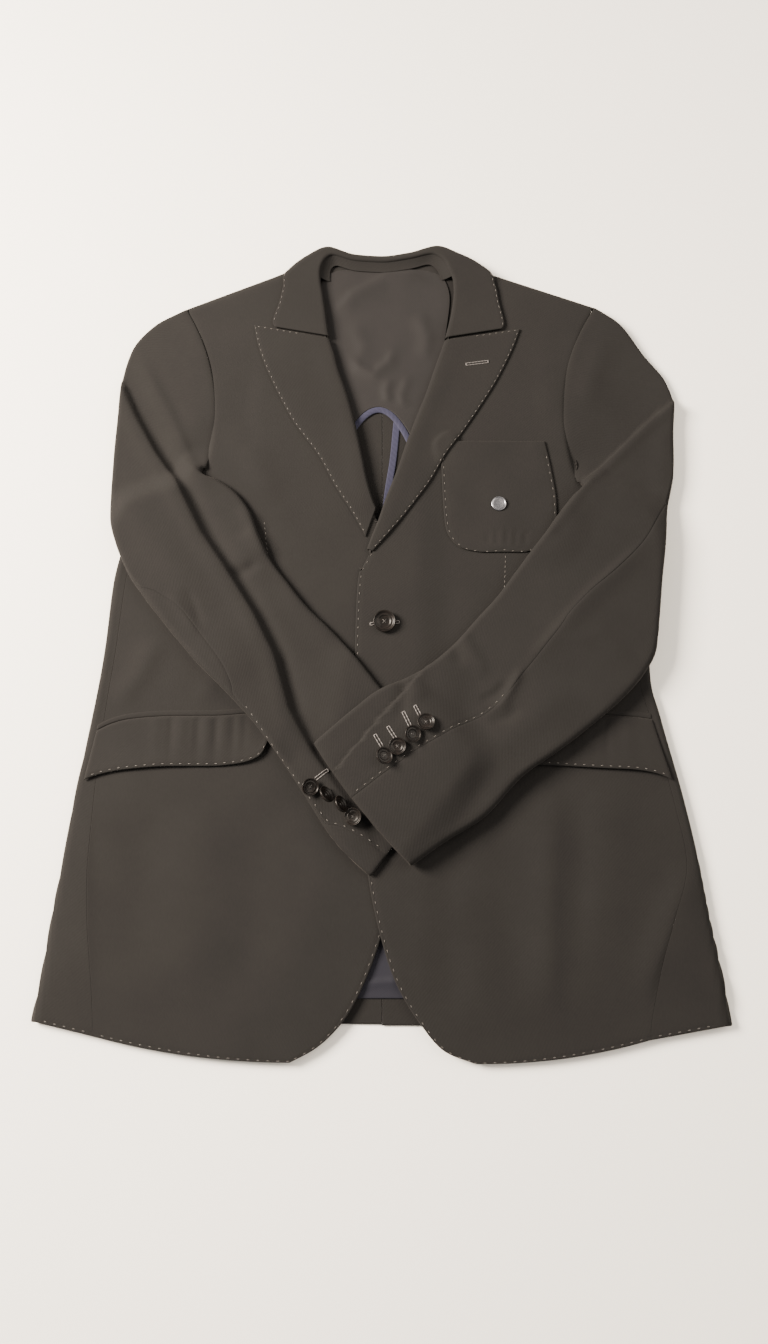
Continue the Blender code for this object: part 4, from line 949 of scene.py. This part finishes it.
# sleeves
def makeSleeve(hand, below):
    label = sideName[hand]
    rows = sleeve["rows" + label]
    foldLine, creases = sleeve["foldLine" + label], sleeve["creases" + label]
    last = len(rows) - 1
    rest = restHeight(lambda u, v: planAt(rows, u, v), below, sleeve["spread"], sleeve["blur"], hand=hand)

    def inwards(u, v):
        # direction from an edge of the sleeve into it
        ax, ay = planAt(rows, u, np.maximum(v - 0.01, 0))
        bx, by = planAt(rows, u, np.minimum(v + 0.01, 1))
        turn = hand if u == 0 else -hand
        square = np.array([-turn * (ay - by), -turn * (bx - ax)])
        square = square / np.linalg.norm(square, axis=0)
        ax, ay = planAt(rows, u, v)
        bx, by = planAt(rows, 1 - u, v)
        across = np.array([bx - ax, by - ay])
        across = across / np.linalg.norm(across, axis=0)
        share = smooth(v * last) if u == 0 else ramp(v * last, *sleeve["squareFrom"])
        mixed = across * (1 - share) + square * share
        return mixed / np.linalg.norm(mixed, axis=0)

    def ring(q, v):
        # the outside: q is 0 to 1 on top, to 2 round the inner edge, to 3 below, to 4 round the outer edge
        atHead = smooth(1 - v * last / sleeve["headRows"])
        atCuff = smooth((v * last - last + sleeve["cuffRows"]) / sleeve["cuffRows"])
        height = sleeve["height"] + (sleeve["headHeight"] - sleeve["height"]) * atHead
        height = height - sleeve["cuffDrop"] * atCuff
        r = height / 2
        q = q % 4
        angle = (q % 1) * math.pi
        outer, inner = inwards(0, v), inwards(1, v)
        ox, oy = planAt(rows, np.zeros(np.shape(q)), v)
        ix, iy = planAt(rows, np.ones(np.shape(q)), v)
        out = r * (1 - np.sin(angle))
        t = np.where(q <= 1, q, 3 - q)
        tx, ty = planAt(rows, np.clip(t, 0, 1), v)
        tx = tx + r * (outer[0] * (1 - t) + inner[0] * t)
        ty = ty + r * (outer[1] * (1 - t) + inner[1] * t)
        rounding = (q > 3) | ((q > 1) & (q < 2))
        x = np.where(q > 3, ox + outer[0] * out, np.where(rounding, ix + inner[0] * out, tx))
        y = np.where(q > 3, oy + outer[1] * out, np.where(rounding, iy + inner[1] * out, ty))
        tuck = sleeve["headTuck"] * (1 - smooth(v * last / sleeve["tuckRows"])) * ramp(t, *sleeve["tuckFrom"])
        height = height * (1 - tuck)
        up = np.where(rounding, (1 + np.cos(angle)) / 2, (q <= 1) * 1.0)
        up = np.where(q > 3, (1 - np.cos(angle)) / 2, up)
        x = x - hand * sleeve["headOver"] * (1 - smooth(v * last))
        away, along = fromLine(foldLine, x, y)
        rise, width, lip, lipWidth = sleeve["fold" + label]
        share = rowsAt(rows, v)[6]
        raised = rise * share * smooth(0.5 - away / width)
        raised = raised + lip * share * np.exp(-((away + lipWidth) / lipWidth) ** 2)
        raised = raised + foldsAt(creases, x, y)
        raised = raised + sleeve["restless"] * waves(x, y, sleeve["restLength"], 11 + hand)
        ground = rest(x, y)
        ground = ground + seamGap * np.minimum(ground, 1.0)
        return x, y, ground + (height + raised) * up

    def along(u, stretches, stops):
        # the ring's q at share u of a path through stops, by length
        want = u * sum(stretches)
        q = np.zeros(np.shape(want)) + stops[0]
        done = np.zeros(np.shape(want))
        for stretch, start, stop in zip(stretches, stops, stops[1:]):
            q = q + (stop - start) * np.clip((want - done) / np.maximum(stretch, 0.01), 0, 1)
            done = done + stretch
        return q

    def measures(v):
        # flat width, half turn and the seam's place: below 0 it is under the outer edge
        ox, oy = planAt(rows, np.zeros(np.shape(v)), v)
        ix, iy = planAt(rows, np.ones(np.shape(v)), v)
        r = sleeve["height"] / 2
        return np.hypot(ix - ox, iy - oy) - 2 * r, np.full(np.shape(v), math.pi * r), rowsAt(rows, v)[5]

    def topSurface(u, v):
        flat, turn, seam = measures(v)
        over, under = np.maximum(seam, 0), np.minimum(seam, 0)
        return ring(along(u, [-under * turn, flat * (1 - over), turn, flat * sleeve["underSeam"]],
                          [seam, over, 1.0, 2.0, 2.0 + sleeve["underSeam"]]), v)

    def underSurface(u, v):
        flat, turn, seam = measures(v)
        seam = seam + sleeve["seamLap"][0]
        over, under = np.maximum(seam, 0), np.minimum(seam, 0)
        start = 2 + sleeve["underSeam"] + sleeve["seamLap"][1]
        return ring(along(u, [flat * (3 - start), turn * (1 + under), flat * over],
                          [start, 3.0, 4.0 + under, 4.0 + under + over]), v)
    topEdges = ("left", ("start", sleeve["headDip"], 6.0), "end")
    halves = (("top", topSurface, topEdges, sleeve["stitches" + label]),
              ("under", underSurface, (("right", 1.5, 4.5), "start", "end"), ()))
    for (half, surface, edges, stitches), cut in zip(halves, sleeve["cut" + label]):
        piece = makeCloth(half + "Sleeve" + label, surface, sleeve["across"], sleeve["along"], sleeve["wall"],
                          edges, stitches, drop=0.8, reach=1.8, hollow=True)
        dressCloth(piece, [half + "sleeve_" + label.lower()], clothMaterial, linedWith=liningMaterial)


makePockets()
for hand in (-1, 1):
    makeLapel(hand)
makeLinings()
makeCollar()
print("pockets, lapels, collar and linings made")
under = [name for name in trees if name not in ("yokeLining", "yokeBinding", "seamTape", "skirtLining")]
makeSleeve(-1, under)
makeSleeve(1, under + ["topSleeveRight", "underSleeveRight"])
print("sleeves made")


# buttons, pin and thread
button = {
    "frontPlace": (2, -13), "frontSize": (20.0, 4.0), "frontTilt": (5, 90), "frontLift": 1.0,
    "cuffSize": (15.0, 3.4), "cuffLift": 0.4, "cuffProbe": 0.6, "tiltLift": 0.8, "sides": 48,
    # cuff buttons from the cuff's edge up: x, y, tilt in degrees and the direction that it lifts towards
    "left": [(1, -138, 26, 200), (13, -129, 8, 60), (25, -119, 24, 170), (37, -109, 12, 250)],
    "right": [(-61, -162, 24, 150), (-48, -170, 55, 212), (-36, -178, 58, 205), (-24, -187, 12, 30)],
    # half of the section from the middle of the face to the back, as shares of the radius and the thickness
    "profile": [
        (0, 0.42), (0.42, 0.42), (0.5, 0.46), (0.56, 0.62), (0.62, 0.64), (0.68, 0.56), (0.76, 0.58),
        (0.86, 0.86), (0.92, 0.98), (0.96, 1.0), (0.99, 0.92), (1.0, 0.78), (0.985, 0.55), (0.93, 0.36),
        (0.8, 0.18), (0.5, 0.04), (0, 0)],
    # thread in its face: how far out, as a share of the radius, its rise, and its radius on the front button
    "threadOut": 0.17, "threadRise": 0.25, "threadRadius": 0.36}
pin = {"place": (107, 101), "size": (14.0, 1.6), "tilt": (3, 60), "lift": 0.3, "sides": 48,
       "profile": [(0, 0.8), (0.3, 0.79), (0.6, 0.74), (0.74, 0.7), (0.78, 0.72), (0.84, 0.95), (0.9, 1.0),
                   (0.96, 0.92), (1.0, 0.6), (0.97, 0.2), (0.9, 0.0), (0, 0)]}
thread = {
    "stitch": (2.2, 0.3), "standOff": 0.2, "bar": 0.5, "apart": 2.3, "sides": (6, 4),
    # a buttonhole's sides and ends: how far apart its points are, rise, overlap, width and thickness
    "barStep": 3, "barRise": 0.25, "barLap": 0.8, "endRise": 0.3, "endWidth": 1.4, "endThick": 1.2,
    # buttonholes: from the open end at the button to the closed end
    "holesLeft": [((0, -129), (-6, -119)), ((12, -123), (5, -112)), ((24, -112), (18, -99)),
                  ((32, -102), (28, -94))],
    "holesRight": [((-56, -155), (-46, -147))],
    "holeFront": ((-10.5, -15), (15, -13)), "holeLapel": ((80, 245), (101, 248)),
    "dartRight": ((-108, 84), (-103, 40)), "dartLeft": ((112, 51), (110, 18)), "dartStep": 4.6,
    "dartRise": 0.12, "dartThin": 0.9}


def finishMesh(name, bm, material, nodes=()):
    bmesh.ops.remove_doubles(bm, verts=bm.verts, dist=0.00001)
    bmesh.ops.recalc_face_normals(bm, faces=bm.faces)
    mesh = bpy.data.meshes.new(name)
    bm.to_mesh(mesh)
    bm.free()
    mesh.shade_smooth()
    piece = bpy.data.objects.new(name, mesh)
    bpy.context.scene.collection.objects.link(piece)
    return dress(piece, nodes, material)


def turned(bm, details, size):
    # a full spin of the half section, in metres round the z axis
    radius, thick = size[0] / 2, size[1]
    verts = [bm.verts.new((r * radius * mm, 0, z * thick * mm)) for r, z in details["profile"]]
    edges = [bm.edges.new(pair) for pair in zip(verts, verts[1:])]
    bmesh.ops.spin(bm, geom=verts + edges, cent=(0, 0, 0), axis=(0, 0, 1), angle=2 * math.pi,
                   steps=details["sides"], use_merge=True)
    bmesh.ops.remove_doubles(bm, verts=bm.verts, dist=0.00001)


def placing(x, y, z, tilt=0.0, towards=0.0):
    lift = Vector((math.cos(math.radians(towards)), math.sin(math.radians(towards)), 0))
    axis = lift.cross(Vector((0, 0, 1)))
    return (Matrix.Translation(((x + planShift[0]) * mm, (y + planShift[1]) * mm, z * mm))
            @ Matrix.Rotation(math.radians(tilt), 4, axis))


def addBar(bm, a, b, radius):
    # a short round thread from a to b, in plan mm
    a, b = Vector(a), Vector(b)
    sides, rings = thread["sides"]
    made = bmesh.ops.create_uvsphere(bm, u_segments=sides, v_segments=rings, radius=1.0)["verts"]
    long = (b - a).length / 2
    for vert in made:
        end = 1 if vert.co.z > 0.01 else -1 if vert.co.z < -0.01 else 0
        vert.co = Vector((vert.co.x * radius, vert.co.y * radius, vert.co.z * radius + end * (long - radius)))
    turn = (b - a).to_track_quat("Z", "X").to_matrix().to_4x4()
    middle = (a + b) / 2 + Vector((planShift[0], planShift[1], 0))
    bmesh.ops.transform(bm, verts=made, matrix=Matrix.Scale(mm, 4) @ Matrix.Translation(middle) @ turn)


def makeButton(name, nodes, size, place, threads):
    bm = bmesh.new()
    turned(bm, button, size)
    bm.transform(place)
    finishMesh(name, bm, hornMaterial, nodes)
    out = button["threadOut"] * (size[0] / 2)
    rise = size[1] * button["profile"][0][1] + button["threadRise"]
    shift = Vector((planShift[0], planShift[1], 0))
    for a, b in (((-out, -out), (out, out)), ((-out, out), (out, -out))):
        ends = [(place @ Vector((x * mm, y * mm, rise * mm))) / mm - shift for x, y in (a, b)]
        addBar(threads, ends[0], ends[1], button["threadRadius"] * size[0] / button["frontSize"][0])


def makeButtons():
    threads = bmesh.new()
    x, y = button["frontPlace"]
    z = topAt(x, y, ["frontLeftCloth"]) + button["frontLift"]
    makeButton("frontButton", ["front_button"], button["frontSize"], placing(x, y, z, *button["frontTilt"]),
               threads)
    for label in ("Left", "Right"):
        names = ["topSleeve" + label, "underSleeve" + label]
        for i, (x, y, tilt, towards) in enumerate(button[label.lower()]):
            radius, probe = button["cuffSize"][0] / 2, button["cuffProbe"]
            ground = max(topAt(x + dx * radius * probe, y + dy * radius * probe, names)
                         for dx, dy in ((0, 0), (1, 0), (-1, 0), (0, 1), (0, -1)))
            z = ground + button["cuffLift"] + radius * button["tiltLift"] * math.sin(math.radians(tilt))
            node = f"cuff_button_{label.lower()}_{i + 1}"
            makeButton(f"cuffButton{label}{i + 1}", [node], button["cuffSize"],
                       placing(x, y, z, tilt, towards), threads)
    finishMesh("buttonThread", threads, darkThreadMaterial, ())
    bm = bmesh.new()
    turned(bm, pin, pin["size"])
    z = topAt(*pin["place"], ["breastPocket"]) + pin["lift"]
    bm.transform(placing(*pin["place"], z, *pin["tilt"]))
    finishMesh("lapelPin", bm, metalMaterial, ["pin"])
    print("buttons and pin made")


def makeStitches():
    bm = bmesh.new()
    long, radius = thread["stitch"]
    for grid in grids.values():
        for edge, inset, spacing, start, stop in grid["stitches"]:
            line, lengths, run = edgeLine(grid, edge, inset)
            off = edgeLine({"points": grid["points"] + grid["normals"] * thread["standOff"]}, edge, inset)[0]
            for place in np.arange(spacing, lengths[-1], spacing):
                if not start * lengths[-1] <= place <= stop * lengths[-1]:
                    continue
                ends = [[np.interp(place + way * long / 2, lengths, off[k]) for k in range(3)]
                        for way in (-1, 1)]
                addBar(bm, ends[0], ends[1], radius)
    for label in ("Left", "Right"):
        (ax, ay), (bx, by) = thread["dart" + label]
        count = int(math.dist((ax, ay), (bx, by)) / thread["dartStep"])
        for i in range(count):
            ends = []
            for t in (i / count, (i + 0.5) / count):
                x, y = ax + (bx - ax) * t, ay + (by - ay) * t
                ends.append((x, y, topAt(x, y, ["front" + label + "Cloth"]) + thread["dartRise"]))
            addBar(bm, ends[0], ends[1], radius * thread["dartThin"])
    finishMesh("pickStitches", bm, silkMaterial)


def makeButtonholes():
    bm = bmesh.new()
    # each hole with the cloth it is in and how many of its ends are barred
    holes = [(hole, ["topSleeveLeft", "underSleeveLeft"], 1) for hole in thread["holesLeft"]]
    holes += [(hole, ["topSleeveRight", "underSleeveRight"], 1) for hole in thread["holesRight"]]
    holes += [(thread["holeFront"], ["frontLeftCloth"], 2), (thread["holeLapel"], ["lapelLeftCloth"], 2)]
    for ((ax, ay), (bx, by)), names, closed in holes:
        long = math.dist((ax, ay), (bx, by))
        dx, dy = (bx - ax) / long, (by - ay) / long
        half, wide = thread["apart"] / 2, thread["endWidth"]
        steps = max(int(long / thread["barStep"]), 3)
        for way in (-1, 1):
            points = []
            for i in range(steps + 1):
                x = ax + dx * long * i / steps - dy * half * way
                y = ay + dy * long * i / steps + dx * half * way
                points.append((x, y, topAt(x, y, names) + thread["barRise"]))
            for a, b in zip(points, points[1:]):
                reach = (Vector(b) - Vector(a)).normalized() * thread["bar"] * thread["barLap"]
                addBar(bm, Vector(a) - reach, Vector(b) + reach, thread["bar"])
        for x, y in [(bx, by), (ax, ay)][:closed]:
            z = topAt(x, y, names) + thread["endRise"]
            addBar(bm, (x - dy * half * wide, y + dx * half * wide, z),
                   (x + dy * half * wide, y - dx * half * wide, z), thread["bar"] * thread["endThick"])
    finishMesh("buttonholes", bm, silverThreadMaterial)
    print("stitches and buttonholes made")


horn = {  # polished horn: dark, slightly streaked, with a clear gloss on its raised rim
    "dark": "#0b0908", "light": "#191513", "roughness": 0.34, "ior": 1.5, "specular": 0.16, "streak": 0.006,
    "stretch": 3.0}
silk = {"colour": "#3e3935", "roughness": 0.55, "twist": 0.0006}  # silk pick-stitch thread: soft lustre
silverThread = {"colour": "#4c4847", "roughness": 0.45, "twist": 0.0008}  # buttonhole twist in silver grey
darkThread = {"colour": "#1a1614", "roughness": 0.6, "twist": 0.0005}  # waxed thread: dark and matte
twisted = {"sheen": 0.3, "bump": 0.5, "bumpDepth": 0.0002}  # what the threads share
nickelSilver = {"colour": "#808084", "roughness": (0.18, 0.36), "grain": 0.0009}  # bright, with a fine grain


def makeHorn():
    material, tree, shader = startMaterial("polished horn", {
        "Roughness": horn["roughness"], "IOR": horn["ior"], "Specular IOR Level": horn["specular"]})
    place = addNode(tree, "ShaderNodeTexCoord").outputs["Object"]
    streaks = addNode(tree, "ShaderNodeMapping", None, {
        "Vector": place, "Scale": (1.0, horn["stretch"], 1.0)})
    cloudy = addNode(tree, "ShaderNodeTexNoise", None, {
        "Vector": streaks.outputs["Vector"], "Scale": 1 / horn["streak"], "Detail": 5.0, "Distortion": 1.2})
    share = addNode(tree, "ShaderNodeMapRange", None, {
        "Value": cloudy.outputs["Fac"], "From Min": 0.38, "From Max": 0.7})
    colour = addNode(tree, "ShaderNodeMix", {"data_type": "RGBA"}, {
        "Factor": share.outputs["Result"], "A": linear(horn["dark"]), "B": linear(horn["light"])})
    tree.links.new(colour.outputs["Result"], shader.inputs["Base Color"])
    return material


def makeThread(name, v):
    # twisted thread: fine slanting ridges, drawn coarser than real ones
    material, tree, shader = startMaterial(name, {
        "Base Color": linear(v["colour"]), "Roughness": v["roughness"], "Sheen Weight": twisted["sheen"]})
    place = addNode(tree, "ShaderNodeTexCoord").outputs["Object"]
    twist = addNode(tree, "ShaderNodeTexWave", {"wave_type": "BANDS", "bands_direction": "DIAGONAL"}, {
        "Vector": place, "Scale": waleScale(v["twist"])})
    bump = addNode(tree, "ShaderNodeBump", None, {
        "Strength": twisted["bump"], "Distance": twisted["bumpDepth"], "Height": twist.outputs["Fac"]})
    tree.links.new(bump.outputs["Normal"], shader.inputs["Normal"])
    return material


def makeNickelSilver():
    v = nickelSilver
    material, tree, shader = startMaterial("polished nickel silver", {
        "Base Color": linear(v["colour"]), "Metallic": 1.0})
    place = addNode(tree, "ShaderNodeTexCoord").outputs["Object"]
    grain = addNode(tree, "ShaderNodeTexNoise", None, {
        "Vector": place, "Scale": 1 / v["grain"], "Detail": 2.0})
    rough = addNode(tree, "ShaderNodeMapRange", None, {
        "Value": grain.outputs["Fac"], "To Min": v["roughness"][0], "To Max": v["roughness"][1]})
    tree.links.new(rough.outputs["Result"], shader.inputs["Roughness"])
    return material


hornMaterial = makeHorn()
silkMaterial = makeThread("silk thread", silk)
silverThreadMaterial = makeThread("buttonhole twist", silverThread)
darkThreadMaterial = makeThread("button thread", darkThread)
metalMaterial = makeNickelSilver()
makeButtons()
makeStitches()
makeButtonholes()


# floor, light and camera
studio = {
    "floor": "#f4f1ea", "floorRoughness": 0.8, "floorSpecular": 0.2, "floorSize": 6.0, "floorBelow": 0.0002,
    "world": 0.7, "worldColour": "#fbf5ee", "key": 190.0, "keyPlace": (-1.34, 0.36, 1.0), "keySize": 0.7,
    "fill": 44.0, "fillPlace": (1.3, 0.5, 1.4), "fillSize": 1.8, "lightColour": "#fff2e2"}
# metres and degrees; half the image's height and the lens are in the photograph's pixels
camera = {"distance": 0.92, "tilt": 15.0, "look": (0.0021, -0.0513, 0.0), "halfImage": 672, "focus": 1035}


def makeStudio():
    s = studio
    bm = bmesh.new()
    bmesh.ops.create_grid(bm, x_segments=2, y_segments=2, size=s["floorSize"] / 2)
    bmesh.ops.translate(bm, verts=bm.verts, vec=(0, 0, -s["floorBelow"]))
    mesh = bpy.data.meshes.new("floor")
    bm.to_mesh(mesh)
    bm.free()
    floor = bpy.data.objects.new("floor", mesh)
    bpy.context.scene.collection.objects.link(floor)
    # painted board: pale, even and matte
    mesh.materials.append(startMaterial("matt white table", {
        "Base Color": linear(s["floor"]), "Roughness": s["floorRoughness"],
        "Specular IOR Level": s["floorSpecular"]})[0])
    world = bpy.data.worlds.new("studio")
    world.use_nodes = True
    background = world.node_tree.nodes["Background"]
    background.inputs["Color"].default_value = linear(s["worldColour"])
    background.inputs["Strength"].default_value = s["world"]
    bpy.context.scene.world = world
    for name, power, place, size in (("key", s["key"], s["keyPlace"], s["keySize"]),
                                     ("fill", s["fill"], s["fillPlace"], s["fillSize"])):
        lamp = bpy.data.lights.new(name, "AREA")
        lamp.energy = power
        lamp.size = size
        lamp.color = linear(s["lightColour"])[:3]
        lampObject = bpy.data.objects.new(name, lamp)
        lampObject.location = place
        lampObject.rotation_euler = (-Vector(place)).to_track_quat("-Z", "Y").to_euler()
        bpy.context.scene.collection.objects.link(lampObject)


def makeCamera():
    c = camera
    lens = bpy.data.cameras.new("camera")
    lens.sensor_width = 36.0
    lens.lens = lens.sensor_width / 2 * c["focus"] / c["halfImage"]
    tilt = math.radians(c["tilt"])
    seen = bpy.data.objects.new("camera", lens)
    seen.location = Vector(c["look"]) + Vector((0, -math.sin(tilt), math.cos(tilt))) * c["distance"]
    seen.rotation_euler = (tilt, 0, 0)
    bpy.context.scene.collection.objects.link(seen)
    bpy.context.scene.camera = seen


makeStudio()
makeCamera()
print("scene finished")
